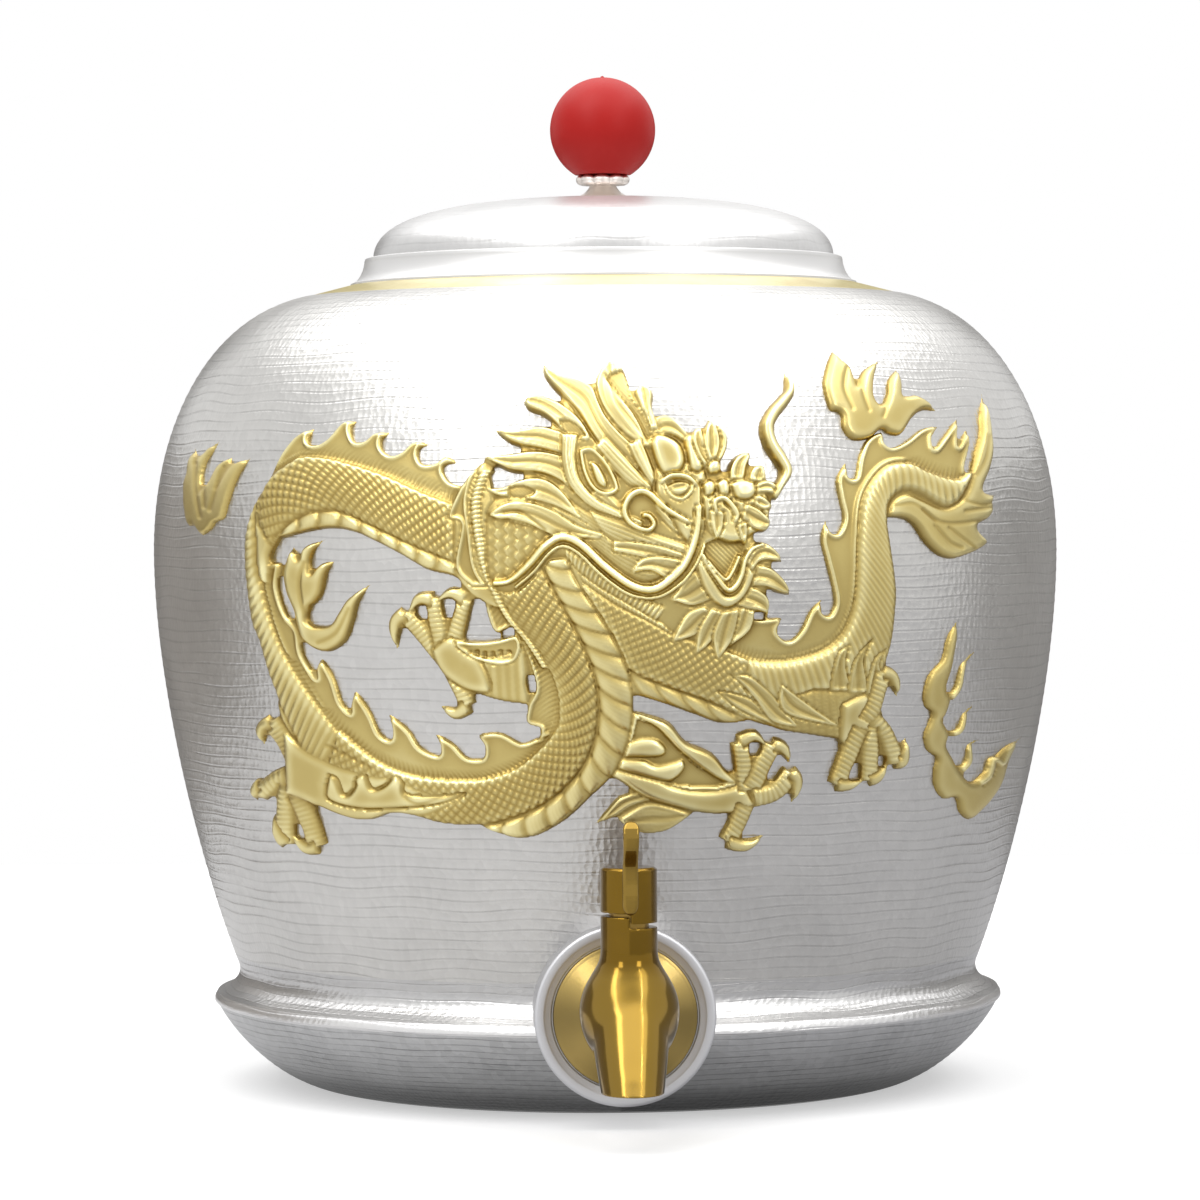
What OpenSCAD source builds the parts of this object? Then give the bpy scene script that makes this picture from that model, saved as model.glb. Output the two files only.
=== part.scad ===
// Hammered silver beverage urn with a lift-off lid, a gilt dragon relief and a quarter-turn tap.
// Millimetres. The urn stands on z = 0, its axis is Z, and the tap points along -Y.

/* [Vessel] */
// Widest diameter of the belly
belly_d = 250; // [240:1:262]
// Height of the widest point
belly_h = 147; // [138:1:156]
// Diameter of the vessel's top edge, round the mouth ring
mouth_d = 168; // [160:1:176]
// Height of the vessel's top edge
mouth_h = 217; // [208:0.2:228]
// Diameter where the flank meets the cove above the lip
waist_d = 205; // [198:0.5:208]
// Height where the flank meets the cove
waist_h = 34; // [32:0.5:36]
// Height of the soldered joint above the waist
joint_rise = 2; // [1:0.5:4]
// Diameter of the flared lip
lip_d = 218; // [214:0.5:224]
// Height of the lip's upper edge
lip_h = 25.8; // [24.5:0.1:27]
// Thickness of the lip's rolled edge
lip_t = 2.8; // [2.2:0.1:3.4]
// Diameter of the flat foot
foot_d = 156; // [140:1:166]
// Thickness of the raised sheet
wall = 1.2; // [0.8:0.1:1.6]
// Width of the shelf that carries the mouth ring
shelf_w = 5; // [3:0.5:8]

/* [Mouth ring] */
// Bore of the ring's neck
ring_bore_d = 128; // [120:0.5:129]
// Width of the flat seat for the lid, round the bore
seat_w = 6.4; // [5:0.1:8]
// Height of the seat above the vessel's edge
seat_rise = 3.3; // [2:0.1:5]
// Thickness of the ring's outer edge
ring_edge = 1.9; // [1.4:0.1:2.4]
// How far the ring's neck reaches down
ring_neck = 15; // [8:0.5:20]
// Gap that shows as the dark seam round the ring
seam_gap = 0.4; // [0.2:0.05:0.8]

/* [Lid] */
// Height of the lid's flared rim
rim_h = 7.6; // [5:0.1:9]
// How far the rim's foot flares out past its top
rim_flare = 3.8; // [2:0.1:5]
// Width of the ledge between the rim and the dome
dome_ledge = 2.5; // [1.5:0.1:3.5]
// Height of the dome
dome_h = 16.6; // [14:0.1:24]
// How far the centring collar reaches into the mouth
collar_drop = 11; // [6:0.5:14]
// Radial clearance of the centring collar
collar_clear = 0.4; // [0.3:0.05:0.8]

/* [Knob] */
// Diameter of the ball
ball_d = 29.2; // [25:0.2:34]
// Height of the small point on top of the ball
ball_point = 0.5; // [0.2:0.1:1]
// Diameter of the stem's foot
stem_d = 14.9; // [12:0.1:18]
// Height of the stem
stem_h = 3.3; // [2:0.1:5]
// Diameter of the stem's neck
neck_d = 7.3; // [6.6:0.1:9]
// Diameter of the petal collar
petal_ring_d = 14.9; // [13:0.1:17]
// Height of the petal collar
petal_ring_h = 3.1; // [2.4:0.1:4]
// Number of petals
petals = 9; // [6:1:14]
// Diameter of the notches between the petals
notch_d = 1.2; // [0.8:0.1:1.6]
// Diameter of the stud
stud_d = 5; // [4:0.5:6]
// Thickness of the washer under the dome
knob_washer_t = 1; // [0.6:0.1:2]
// Height of the nut under the dome
knob_nut_h = 4; // [3:0.5:5]

/* [Tap mounting] */
// Height of the tap's inlet
tap_h = 29.4; // [28.8:0.1:31]
// Outer diameter of the silver boss
boss_d = 46.6; // [42:0.2:50]
// Distance of the boss's face from the urn's axis
boss_reach = 115; // [113:0.5:119]
// Width of the boss's raised rim
boss_rim_w = 2.6; // [1.5:0.1:4]
// Height of the boss's raised rim
boss_rim_h = 1.2; // [0.6:0.1:2]
// Diameter of the gold flange
flange_d = 37; // [34:0.2:39]
// Thickness of the gold flange
flange_t = 4; // [3:0.1:5]
// Diameter of the threaded shank
shank_d = 10; // [9:0.2:10.4]
// Bore of the inlet
inlet_d = 5.6; // [4:0.2:6.4]
// Diameter of the washers on the shank
washer_d = 18; // [15:0.5:20]
// Thickness of the inner washer at its thinnest
inner_washer_t = 3.2; // [2.6:0.1:4]
// Thickness of the front washer
front_washer_t = 1.2; // [0.8:0.1:2]
// Width across the flats of the back nut
nut_af = 17; // [15:0.5:19]
// Thickness of the back nut
nut_t = 5; // [4:0.5:7]
// How far the shank stands out of the nut
shank_spare = 4; // [2:0.5:8]

/* [Tap] */
// Length of the neck, from the flange's face to the barrel's axis
tap_neck_len = 21; // [19:0.5:27]
// Diameter of the barrel and its cap
barrel_d = 14.2; // [13.4:0.1:16]
// Height of the barrel's low rim above the table
barrel_top = 54.4; // [52:0.2:58]
// Diameter of the bulb
bulb_d = 24.8; // [23:0.2:27]
// Height of the bulb's centre above the inlet
bulb_rise = 3.6; // [2:0.1:5]
// Diameter of the horizontal neck
tap_neck_d = 21; // [18:0.2:22]
// Spout's diameter at the bulb
spout_root_d = 20.4; // [18:0.2:21.6]
// Spout's diameter at the outlet
spout_tip_d = 16; // [14:0.2:18]
// Height of the spout's tip
spout_tip_h = 14.5; // [13:0.1:18]
// How far the spout's tip lies in front of the barrel
spout_throw = 17; // [14:0.2:20]
// Bore of the spout
spout_bore_d = 11; // [9:0.2:12]
// Diameter of the turning plug
core_d = 10; // [9:0.1:10.4]
// Length of the plug below the barrel's low rim
core_len = 28; // [26:0.5:29]
// Diameter of the plug's passage
core_bore_d = 6; // [5:0.1:6.4]
// Diameter of the plug's stem in the cap
core_stem_d = 6; // [5:0.1:6.4]
// Radial running clearance of the plug
core_clear = 0.05; // [0.02:0.01:0.1]
// Thickness of each seal round the plug
o_ring_t = 1.4; // [1:0.1:1.6]
// Height of the cap above its skirt
cap_h = 11.2; // [10:0.1:14]
// Height of the step in the rim and the skirt
step_h = 2.8; // [2:0.1:3.6]
// Gap between the rim and the skirt
skirt_gap = 1; // [0.6:0.1:1.4]
// Angle that the tap turns
turn_angle = 90; // [60:5:100]
// Angle of the barrel's raised rim
raised_angle = 135; // [110:5:150]
// Clearance at each stop, in degrees
stop_clear = 2.4; // [1.6:0.2:4]
// Width of the lever
lever_w = 3.9; // [3:0.1:5]
// Thickness of the lever
lever_t = 2.6; // [2:0.1:3.2]
// Height of the lever's tip above the cap
lever_rise = 12.4; // [9:0.2:16]
// How far the lever leans out in front of the cap
lever_lean = 8; // [5:0.2:12]
// Diameter of the grub screw
setscrew_d = 3; // [2.5:0.5:4]

/* [Relief] */
// Height of the dragon's body above the belly
relief_h = 3; // [2:0.1:4]
// Gap between the relief's back and the belly
relief_gap = 0.2; // [0.15:0.05:0.4]
// Angle that the relief is turned from the tap
relief_turn = -2.2; // [-6:0.2:6]
// Width of the dragon and its flames on the drawing's sheet
relief_w = 208; // [190:1:212]
// Height of the drawing's zero on its sheet
drawing_h = 136; // [130:0.5:142]

/* [Hidden] */
$fn = 96;

SILVER = "#d9d6d2";
GILT = "#d8bd6a";
GOLD = "#c79a2e";
RED = "#b2221c";
RUBBER = "#2b2b2b";

// Clearance between pieces that are screwed, soldered or stacked together
slip = 0.1;
// Close clearance of pieces that are pressed or let in
fit = 0.05;

// Curves: a cubic through two handles, and its offset by the normals
function cubic(a, b, c, d, t) =
    pow(1 - t, 3) * a + 3 * pow(1 - t, 2) * t * b + 3 * (1 - t) * t * t * c + t * t * t * d;
function curve(a, b, c, d, steps) = [for (i = [0:steps]) cubic(a, b, c, d, i / steps)];
function unit(v) = v / norm(v);
function ends(p, i) = [p[max(i - 1, 0)], p[min(i + 1, len(p) - 1)]];
function heading(p, i) = let (e = ends(p, i)) unit([e[1][0] - e[0][0], e[1][1] - e[0][1]]);
function left_of(v) = [-v[1], v[0]];
function offset_by(p, d) = [for (i = [0:len(p) - 1]) p[i] + d * left_of(heading(p, i))];
function reversed(p) = [for (i = [len(p) - 1:-1:0]) p[i]];

// Vessel profile, from the top edge down
mouth_r = mouth_d / 2;
belly_r = belly_d / 2;
waist_r = waist_d / 2;
lip_r = lip_d / 2;
foot_r = foot_d / 2;
lip_under = lip_h - lip_t;
shoulder_handle = [26, -5.8];
belly_handle_up = [0, 34.5];
belly_handle_down = [0, -40.3];
flank_handle = [8.1, 20.3];
cove_handle = [-1.2, -3];
lip_handle = [-5.7, 1.8];
pan_rim = [lip_r - 0.4, lip_under];
pan_handle = [-4.1, -8.8];
foot_handle = [12, 0];
mouth_edge = [mouth_r, mouth_h];
belly_edge = [belly_r, belly_h];
waist_edge = [waist_r, waist_h];
lip_edge = [lip_r - 0.8, lip_h];
shoulder_line = curve(mouth_edge, mouth_edge + shoulder_handle, belly_edge + belly_handle_up, belly_edge, 12);
flank_line = curve(belly_edge, belly_edge + belly_handle_down, waist_edge + flank_handle, waist_edge, 12);
cove_line = curve(waist_edge, waist_edge + cove_handle, lip_edge + lip_handle, lip_edge, 8);
shell_line = concat(
    [for (i = [0:11]) shoulder_line[i]], [for (i = [0:11]) flank_line[i]], cove_line);
shell_inner = offset_by(shell_line, -wall);
foot_edge = [foot_r, 0];
pan_line = curve(pan_rim, pan_rim + pan_handle, foot_edge + foot_handle, foot_edge, 12);
pan_inner = offset_by(pan_line, -wall);

// Heights of the stacked rings and the lid
shelf_h = mouth_h - ring_edge;
seat_h = mouth_h + seat_rise;
ring_r = mouth_r - seam_gap;
ring_bore_r = ring_bore_d / 2;
seat_r = ring_bore_r + seat_w;
lid_r = seat_r - 0.3;
collar_r = ring_bore_r - collar_clear;
rim_top = seat_h + rim_h;
rim_top_r = lid_r - rim_flare;
dome_r = rim_top_r - dome_ledge;
dome_top = rim_top + dome_h;
dome_line = curve([0, dome_top], [0.752 * dome_r, dome_top], [dome_r, rim_top + 0.6 * dome_h],
    [dome_r, rim_top], 12);

// Knob, stacked upwards from the dome
stud_r = stud_d / 2;
stem_foot = dome_top + 0.05;
collar_foot = stem_foot + stem_h;
ball_seat = collar_foot + petal_ring_h;
ball_r = ball_d / 2;
ball_seat_r = petal_ring_d / 2 + 0.3;
ball_centre = ball_seat + sqrt(ball_r * ball_r - ball_seat_r * ball_seat_r);
stud_top = ball_centre + 3;
washer_top = dome_top - wall - 0.25;
nut_top = washer_top - knob_washer_t;
stud_foot = nut_top - knob_nut_h - 1;

// Tap, with its inlet along -Y
shank_r = shank_d / 2;
shank_hole = shank_r + slip;
inner_wall_r = waist_r - 0.4 - wall;
saddle_r = inner_wall_r - 0.15;
nut_face = saddle_r - inner_washer_t;
shank_end = nut_face - nut_t - shank_spare;
flange_face = boss_reach + flange_t;
barrel_reach = flange_face + tap_neck_len;
barrel_r = barrel_d / 2;
bulb_r = bulb_d / 2;
bulb_h = tap_h + bulb_rise;
raised_top = barrel_top + step_h;
skirt_low = barrel_top + skirt_gap + 0.2;
cap_foot = raised_top + skirt_gap;
cap_top = cap_foot + cap_h;
skirt_angle = 360 - turn_angle - raised_angle - 2 * stop_clear;
core_r = core_d / 2;
bore_r = core_r + core_clear;
core_low = barrel_top - core_len;
chamber_low = core_low - 3;
core_shoulder = cap_foot - 0.3;
core_stem_top = cap_top - 3.4;
clip_h = barrel_top - 3;
clip_t = 1;
groove_deep = 0.9;
port_h = tap_h;
seal_r = inlet_d / 2 + 1.5;
seal_t = 2.6;
o_ring_places = [port_h + core_bore_d + 4, clip_h - 3];
setscrew_h = 0.5 * (cap_foot + core_stem_top);
// Lever's line from the side: up the cap's front, then leaning out to a tip that lies back
lever_off = 0.3;
lever_root = [barrel_reach + barrel_r + lever_off + 0.5 * lever_t, cap_foot + 1];
lever_bend = lever_root + [0.6, cap_h - 1];
lever_tip = [barrel_reach + barrel_r + lever_lean, cap_top + lever_rise];
lever_low = curve(lever_root, lever_root + [1, 3], lever_bend - [0.9, 3], lever_bend, 5);
lever_high = curve(lever_bend, lever_bend + [1.2, 4], lever_tip + [1.6, -5], lever_tip, 7);
lever_spine = concat(lever_low, [for (i = [1:7]) lever_high[i]]);
tenon_deep = 2.2;
tenon_w = lever_w - 1.2;
tenon_h = 6;
tenon_low = cap_foot + 2;
spout_start = [0, -barrel_reach, bulb_h + 2.5];
spout_end = [0, -barrel_reach - spout_throw, spout_tip_h];
spout_run = spout_end - spout_start;
spout_tilt = atan2(-spout_run[1], -spout_run[2]);
spout_len = norm(spout_run);

// Relief: drawn on an upright sheet in front of the urn and carried back to the belly along the lines
// of sight of an eye at the given distance and height, so it lies on whatever profile the belly has
eye_reach = 5.44 * belly_d;
eye_h = belly_h + 16;
sheet_reach = belly_r + 12;
drawn_w = 208;
drawn = relief_w / drawn_w;
belly_table = [for (p = reversed(concat(shoulder_line, flank_line))) [p[1], p[0]]];
function belly_radius(z) = lookup(z, belly_table);
function belly_slope(z) = (belly_radius(z + 1) - belly_radius(z - 1)) / 2;

// Soldered joint between the raised body and the lip ring, as [radius, height] outside and inside
joint_h = waist_h + joint_rise;
joint_outer = [belly_radius(joint_h), joint_h];
joint_inner = joint_outer - [wall * norm([1, belly_slope(joint_h)]), 0];

function carried(u, v, y, rounds) =
    let (k = (eye_reach + y) / (eye_reach - sheet_reach))
    let (z = eye_h + (drawing_h + drawn * v - eye_h) * k)
    let (r = belly_radius(z))
    let (x = drawn * u * k)
    let (front = -sqrt(max(r * r - x * x, 1)))
    rounds == 0 ? [x, front, z] : carried(u, v, (y + front) / 2, rounds - 1);
function lifted(u, v, lift) =
    let (p = carried(u, v, -100, 12))
    let (r = norm([p[0], p[1]]))
    let (n = unit([p[0] / r, p[1] / r, -belly_slope(p[2])]))
    p + lift * n;

// A stroke is a list of [across, up, half width] on the sheet, smoothed to a curve through its points
function through(a, b, c, d, t) =
    0.5 * (2 * b + (c - a) * t + (2 * a - 5 * b + 4 * c - d) * t * t + (3 * b - a - 3 * c + d) * t * t * t);
function smoothed(p, steps) = let (n = len(p) - 1) concat(
    [for (i = [0:n - 1]) for (j = [0:steps - 1])
        through(p[max(i - 1, 0)], p[i], p[i + 1], p[min(i + 2, n)], j / steps)],
    [p[n]]);
// Places across a stroke: share of its half width, and share of its height. The last two sink into the
// belly, which is cut away from every relief afterwards.
SECTION = [[1, 0.3], [0.6, 0.86], [0, 1], [-0.6, 0.86], [-1, 0.3], [-1, -0.4], [1, -0.4]];
function section_points(p, i, h) =
    let (m = left_of(heading(p, i)))
    let (w = max(p[i][2], 0.3))
    [for (s = SECTION) lifted(p[i][0] + m[0] * w * s[0], p[i][1] + m[1] * w * s[0], relief_gap + h * s[1])];
module stroke(points, h, steps = 2) {
    line = smoothed(points, steps);
    k = len(SECTION);
    n = len(line);
    sides = [for (i = [0:n - 2]) for (j = [0:k - 1]) let (a = i * k + j, b = i * k + (j + 1) % k)
        each [[a, a + k, b], [b, a + k, b + k]]];
    first = [for (j = [1:k - 2]) [0, j, j + 1]];
    last = [for (j = [1:k - 2]) [(n - 1) * k, (n - 1) * k + j + 1, (n - 1) * k + j]];
    polyhedron([for (i = [0:n - 1]) each section_points(line, i, h)], concat(sides, first, last));
}
// A toe with its claw: a stroke to the knuckle and a pointed nail from there to the tip
module toe(root, knuckle, tip) {
    stroke([[root[0], root[1], 1.7], [knuckle[0], knuckle[1], 1.5]], 0.62 * relief_h, 1);
    hull() {
        translate(lifted(knuckle[0], knuckle[1], relief_gap + 1.1)) sphere(drawn, $fn = 4);
        translate(lifted(tip[0], tip[1], relief_gap + 0.5)) sphere(0.4 * drawn, $fn = 4);
    }
}
// Teeth of a fin, standing on one edge of a body stroke and leaning along it
module fin(line, from, to, teeth, side, h, lean) {
    for (i = [0:teeth - 1]) {
        k = round(from + (to - from) * (i + 0.5) / teeth);
        d = heading(line, k);
        m = side * left_of(d);
        p = line[k];
        root = [p[0], p[1]] + 0.8 * p[2] * m;
        tip = root + h * m + lean * d;
        mid = root + 0.6 * h * m + 0.15 * lean * d;
        stroke([[root[0], root[1], 3.6], [mid[0], mid[1], 2.4], [tip[0], tip[1], 0.3]], 0.4 * relief_h, 1);
    }
}

FRONT_LOOP = [
    [-19, 20, 7], [-14, 6, 7.5], [-8, -6, 8.5], [-3, -20, 9], [-2.5, -31, 9], [-7.5, -42, 9], [-17.5, -48, 8],
    [-30, -50, 6], [-44, -49, 5.5], [-59, -45, 6], [-70, -38, 6], [-77.5, -26, 4.5], [-84, -10, 3.5],
    [-87, 5, 3], [-86, 17, 3.5], [-80, 25, 6], [-72, 27.5, 8], [-61, 25, 8.5], [-50, 21, 8.5], [-38, 15, 8.5],
];
REAR_BODY = [
    [-7, 7, 6], [4, -6, 7.5], [15, -16, 8], [27.5, -22.5, 8], [42.5, -24.5, 7.5], [55, -20, 7], [64, -10, 6],
    [67, 2.5, 5], [67, 15, 4.2], [67, 24, 3.8], [71, 29.5, 3.5], [77, 30, 3.5], [83, 26.5, 3], [89, 29, 1.5],
];
MANE = [
    [[-1, 17.5, 3], [-14, 22, 3.2], [-26, 22.5, 1.2]],
    [[-5, 24, 3], [-17, 27, 2.8], [-29, 28, 0.3]],
    [[-5, 27.5, 3], [-17, 32, 3.2], [-30, 36, 0.3]],
    [[-1, 32, 3], [-15, 39, 3.2], [-27, 42.5, 0.3]],
    [[1, 36, 3], [-9, 46, 3], [-20, 50, 0.8]],
    [[7, 31, 3], [-4, 44, 3.6], [-15, 59, 0.4]],
    [[11, 32, 3], [5, 44, 3.4], [-1, 56, 0.6]],
    [[12, 37, 3], [7.5, 49, 2.6], [3, 59, 1]],
    [[12.5, 40, 2.6], [10, 52, 1.4]],
];
HEAD = [
    [[-6, 19, 9], [8, 21, 11], [21, 22, 9], [31, 25, 6]],
    [[24, 26, 4], [35, 25, 5.5], [40, 22, 3]],
    [[32, 21, 4], [36, 18, 3.5], [41, 18.5, 1.4]],
    [[23, 10, 1.6], [29, 1, 2.4], [34, 4, 2.2], [35, 11, 2], [41, 12, 1.4], [44, 9, 0.5]],
    [[15, 38, 3.4], [18, 35, 4.2], [22, 31, 3.4]],
    [[27, 33, 3.4], [27, 38, 3.8], [26, 45, 0.8]],
    [[32, 31, 1.8], [36, 37, 0.4]],
    [[22, 21, 1.2], [21, 12.5, 1.2], [12, 3, 1.2], [0, 8, 1.1], [-10.5, 16, 1], [-19, 9, 0.9],
     [-27, 4.5, 0.5]],
    [[38, 22, 1.6], [42, 27, 1.4], [45.5, 34, 1.6], [40.5, 41.5, 1.6], [45, 49, 1.7], [45, 56, 0.4]],
    [[28, 0, 2.5], [21, -6, 2.6], [16, -10, 0.4]],
    [[28, -1, 2.5], [24, -8, 2.4], [22, -14, 0.4]],
    [[29, -1, 2.5], [28, -8, 2.4], [27.5, -15, 0.4]],
    [[38, 10, 2.5], [42, 6, 2.2], [46, 1.5, 0.4]],
    [[36, 6, 2.4], [38, 2, 2.2], [41, -2, 0.4]],
];
LEGS = [
    [[-54, -50, 5.5], [-65, -47.5, 6], [-75, -41, 4.4], [-79, -40, 3]],
    [[-8, -27, 5], [-25, -22.5, 4.5], [-35, -17, 3], [-42.5, -11.5, 2.6]],
    [[2, -41, 5], [11, -41, 7], [24, -46, 5.5], [35, -48, 3.2]],
    [[32, -24, 5], [46, -30, 5.5], [58, -30, 5], [66, -29.5, 3.2]],
];
// Root, knuckle and nail's tip of every toe
TOES = [
    [[-77.5, -38], [-82, -30.5], [-85.5, -35.5]],
    [[-80, -43], [-85, -49], [-87, -46]],
    [[-80, -44], [-81, -58], [-83, -55]],
    [[-77, -44], [-72.5, -60], [-77.5, -58.5]],
    [[-41, -14], [-49, -4], [-52, -11.5]],
    [[-40, -12], [-43, 0], [-48.5, -3]],
    [[-39, -12], [-35, 0], [-41, 0]],
    [[-37, -18], [-35, -26], [-41, -26.5]],
    [[33, -46], [32, -36], [39, -37]],
    [[37, -46], [41, -36], [45, -40.5]],
    [[38, -49], [46, -42], [46, -51]],
    [[34, -50], [30, -60], [39, -59]],
    [[66, -27], [69, -18.5], [73, -25]],
    [[67, -30.5], [72, -41], [75, -35]],
    [[65, -32], [65, -45], [70, -42]],
    [[62, -32], [57, -46], [63.5, -46]],
];
TAIL = [
    [[70, 21, 0.4], [76, 24, 2], [82.5, 18, 3.6], [86, 10.5, 1]],
    [[82, 22, 3], [88, 18, 3.4], [95, 14, 0.4]],
    [[85, 26, 3], [91, 24, 3.2], [97, 25.5, 0.4]],
    [[87, 27, 2.5], [93, 38, 1.8], [94.5, 49.5, 0.4]],
    [[81, 30, 2.4], [85, 36, 2.2], [88, 44.5, 0.6]],
    [[84, 30, 2.4], [88, 35, 1.8], [90.5, 42, 0.5]],
];
LEAVES = [
    [[8, -48, 2], [2, -52, 2.4], [-1, -55, 0.4]],
    [[26, -47, 2], [21, -53, 2.4], [14, -57, 2.6], [8, -58.5, 1]],
];
// The flame that grows from the dragon's side
BODY_FLAME = [
    [[-77, -17, 2], [-75, -10, 2], [-76, -2, 2.4], [-78, 6, 2], [-78, 14, 0.4]],
    [[-76, 0, 1.8], [-74, 10, 1.6], [-70, 15.5, 0.4]],
    [[-75.5, -1, 1.6], [-72, 6, 1.6], [-68, 10, 0.4]],
    [[-76, -6, 1.4], [-73, -11, 2.4], [-67.5, -11, 2.8], [-63, -4, 2], [-58.5, 5, 0.4]],
];
// Each loose flame is a list of tongues, and the first is its stem
FLAMES = [
    [[[-100.5, 17, 0.8], [-99.5, 24, 4], [-99.5, 28, 4]],
     [[-103, 24, 1.8], [-104, 31, 1.2], [-102, 38, 0.4]],
     [[-100.5, 25, 1.8], [-100, 34, 1.4], [-96, 41, 0.4]],
     [[-97.5, 25, 1.8], [-96.5, 31, 1.3], [-93, 36, 0.4]],
     [[-97, 22, 2], [-93, 30, 1.5], [-88, 36, 0.4]]],
    [[[60, 45, 3], [66, 45, 5], [72.5, 44, 3.4]],
     [[61, 46, 3], [58, 53, 2.4], [56, 62, 0.6]],
     [[64, 47, 2.6], [66, 54, 1.9], [69, 59.5, 0.5]],
     [[70, 46, 2.2], [71, 52, 1.5], [73, 57, 0.5]],
     [[71, 44, 2.6], [77, 47, 1.8], [83, 46.5, 0.4]]],
    [[[83, -22, 3.4], [83, -35, 4.2], [86, -45, 4.4], [91, -50, 3.8], [96, -48, 2.4]],
     [[83, -23, 2.6], [85, -14, 1.8], [88, -5, 0.4]],
     [[85, -27, 1.6], [89, -21, 1.1], [92.5, -13.5, 0.4]],
     [[85, -36, 1.6], [88, -31, 1.1], [92, -27, 0.4]],
     [[87.5, -46, 1.6], [90, -41, 1.1], [93, -36, 0.4]],
     [[94, -49, 2], [98, -42, 1.4], [103.5, -35, 0.4]]],
];

// Small shared shapes
module along_tap(z = tap_h) {
    translate([0, 0, z]) rotate([90, 0, 0]) children();
}
module ring(outer, inner, low, high) {
    difference() {
        translate([0, 0, low]) cylinder(r = outer, h = high - low);
        translate([0, 0, low - 1]) cylinder(r = inner, h = high - low + 2);
    }
}
module hexagon(af, hole, low, high) {
    difference() {
        translate([0, 0, low]) cylinder(d = af / cos(30), h = high - low, $fn = 6);
        translate([0, 0, low - 1]) cylinder(r = hole, h = high - low + 2);
    }
}
module wedge(from, angle, low, high) {
    rotate([0, 0, from]) rotate_extrude(angle = angle) translate([0, low]) square([barrel_r + 1, high - low]);
}
// Space that the vessel fills, grown by a clearance, for pieces that are saddle-cut to it
module vessel_space(clear) {
    lip = [[lip_r + clear, lip_h + clear], [lip_r + clear, lip_under - clear]];
    grown = concat(offset_by(shell_line, clear), lip, offset_by(pan_line, clear));
    rotate_extrude() polygon(concat([[0, mouth_h]], grown, [[0, -clear]]));
}
// Back of the reliefs: the same space with few flats, which stand clear of the round belly
module relief_back(flats = 48) {
    grow = 1 / cos(180 / flats);
    scale([grow, grow, 1]) rotate([0, 0, 180 / flats]) vessel_space(relief_gap, $fn = flats);
}
module shank_cut() {
    along_tap() cylinder(r = shank_hole, h = barrel_reach);
}

module body_shell() color(SILVER) rotate_extrude() polygon(concat(
    [for (p = shell_line) if (p[1] > joint_h + 0.5) p],
    [joint_outer, joint_inner],
    [for (p = reversed(shell_inner)) if (p[1] > joint_h + 0.5 && p[1] < shelf_h - wall - 0.3) p],
    [[mouth_r - shelf_w, shelf_h - wall], [mouth_r - shelf_w, shelf_h], [mouth_r, shelf_h]]));

// Cove and flared lip in one ring, soldered under the body
module lip_ring() color(SILVER) difference() {
    rotate_extrude() polygon(concat(
        [joint_outer], cove_line,
        [[lip_r, lip_h - 0.8], [lip_r, lip_under + 0.5], [lip_r - 0.4, lip_under], [lip_r - 4, lip_under]],
        [for (p = reversed(shell_inner)) if (p[1] > lip_under + 0.4 && p[1] < joint_h - 0.5) p],
        [joint_inner]));
    shank_cut();
}

module base_pan() color(SILVER) rotate_extrude() polygon(concat(
    [[lip_r - 3.6, lip_under], [pan_rim[0] - 0.5, lip_under]],
    [for (i = [1:12]) pan_line[i]],
    [[0, 0], [0, wall], [foot_r, wall]],
    [for (p = reversed(pan_inner)) if (p[1] > wall + 0.2 && p[1] < lip_under - 1) p]));

module mouth_ring() color(GILT) rotate_extrude() polygon([
    [ring_bore_r, seat_h], [seat_r, seat_h], [ring_r - 0.3, mouth_h], [ring_r, mouth_h - 0.3],
    [ring_r, shelf_h], [ring_bore_r + wall, shelf_h],
    [ring_bore_r + wall, seat_h - ring_neck], [ring_bore_r, seat_h - ring_neck]]);

module dragon() color(GILT) difference() {
    front = smoothed(FRONT_LOOP, 2);
    rear = smoothed(REAR_BODY, 2);
    rotate([0, 0, relief_turn]) union() {
        stroke(FRONT_LOOP, relief_h);
        stroke(REAR_BODY, 0.92 * relief_h);
        fin(front, 1, 23, 13, -1, 6.5, -4);
        fin(front, 29, 37, 5, 1, 7.5, 4);
        fin(rear, 8, 20, 6, 1, 6, -4);
        for (s = HEAD) stroke(s, 1.15 * relief_h);
        for (s = MANE) stroke(s, 0.8 * relief_h);
        for (s = LEGS) stroke(s, 0.85 * relief_h);
        for (s = concat(TAIL, LEAVES, BODY_FLAME)) stroke(s, 0.6 * relief_h);
        for (t = TOES) toe(t[0], t[1], t[2]);
    }
    relief_back();
}

module flames() color(GILT) difference() {
    rotate([0, 0, relief_turn]) for (f = FLAMES) {
        for (s = f) stroke(s, 0.5 * relief_h);
        for (i = [0:len(f[0]) - 2]) hull() {
            translate(lifted(f[0][i][0], f[0][i][1], 0.4 * relief_h)) sphere(0.8 * drawn, $fn = 6);
            translate(lifted(f[0][i + 1][0], f[0][i + 1][1], 0.4 * relief_h)) sphere(0.8 * drawn, $fn = 6);
        }
    }
    relief_back();
}

module lid_rim() color(SILVER) rotate_extrude() polygon(concat(
    [[lid_r, seat_h]],
    curve([lid_r, seat_h + 0.5], [lid_r - 2.5, seat_h + 0.9], [rim_top_r, rim_top - 2.4],
        [rim_top_r, rim_top - 1], 6),
    [[rim_top_r - 0.2, rim_top - 0.3], [rim_top_r - 0.9, rim_top], [collar_r - wall - 2, rim_top]],
    [[collar_r - wall - 2, rim_top - wall], [collar_r - wall, rim_top - wall]],
    [[collar_r - wall, seat_h - collar_drop], [collar_r - 0.3, seat_h - collar_drop]],
    [[collar_r, seat_h - collar_drop + 0.6], [collar_r, seat_h]]));

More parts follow.
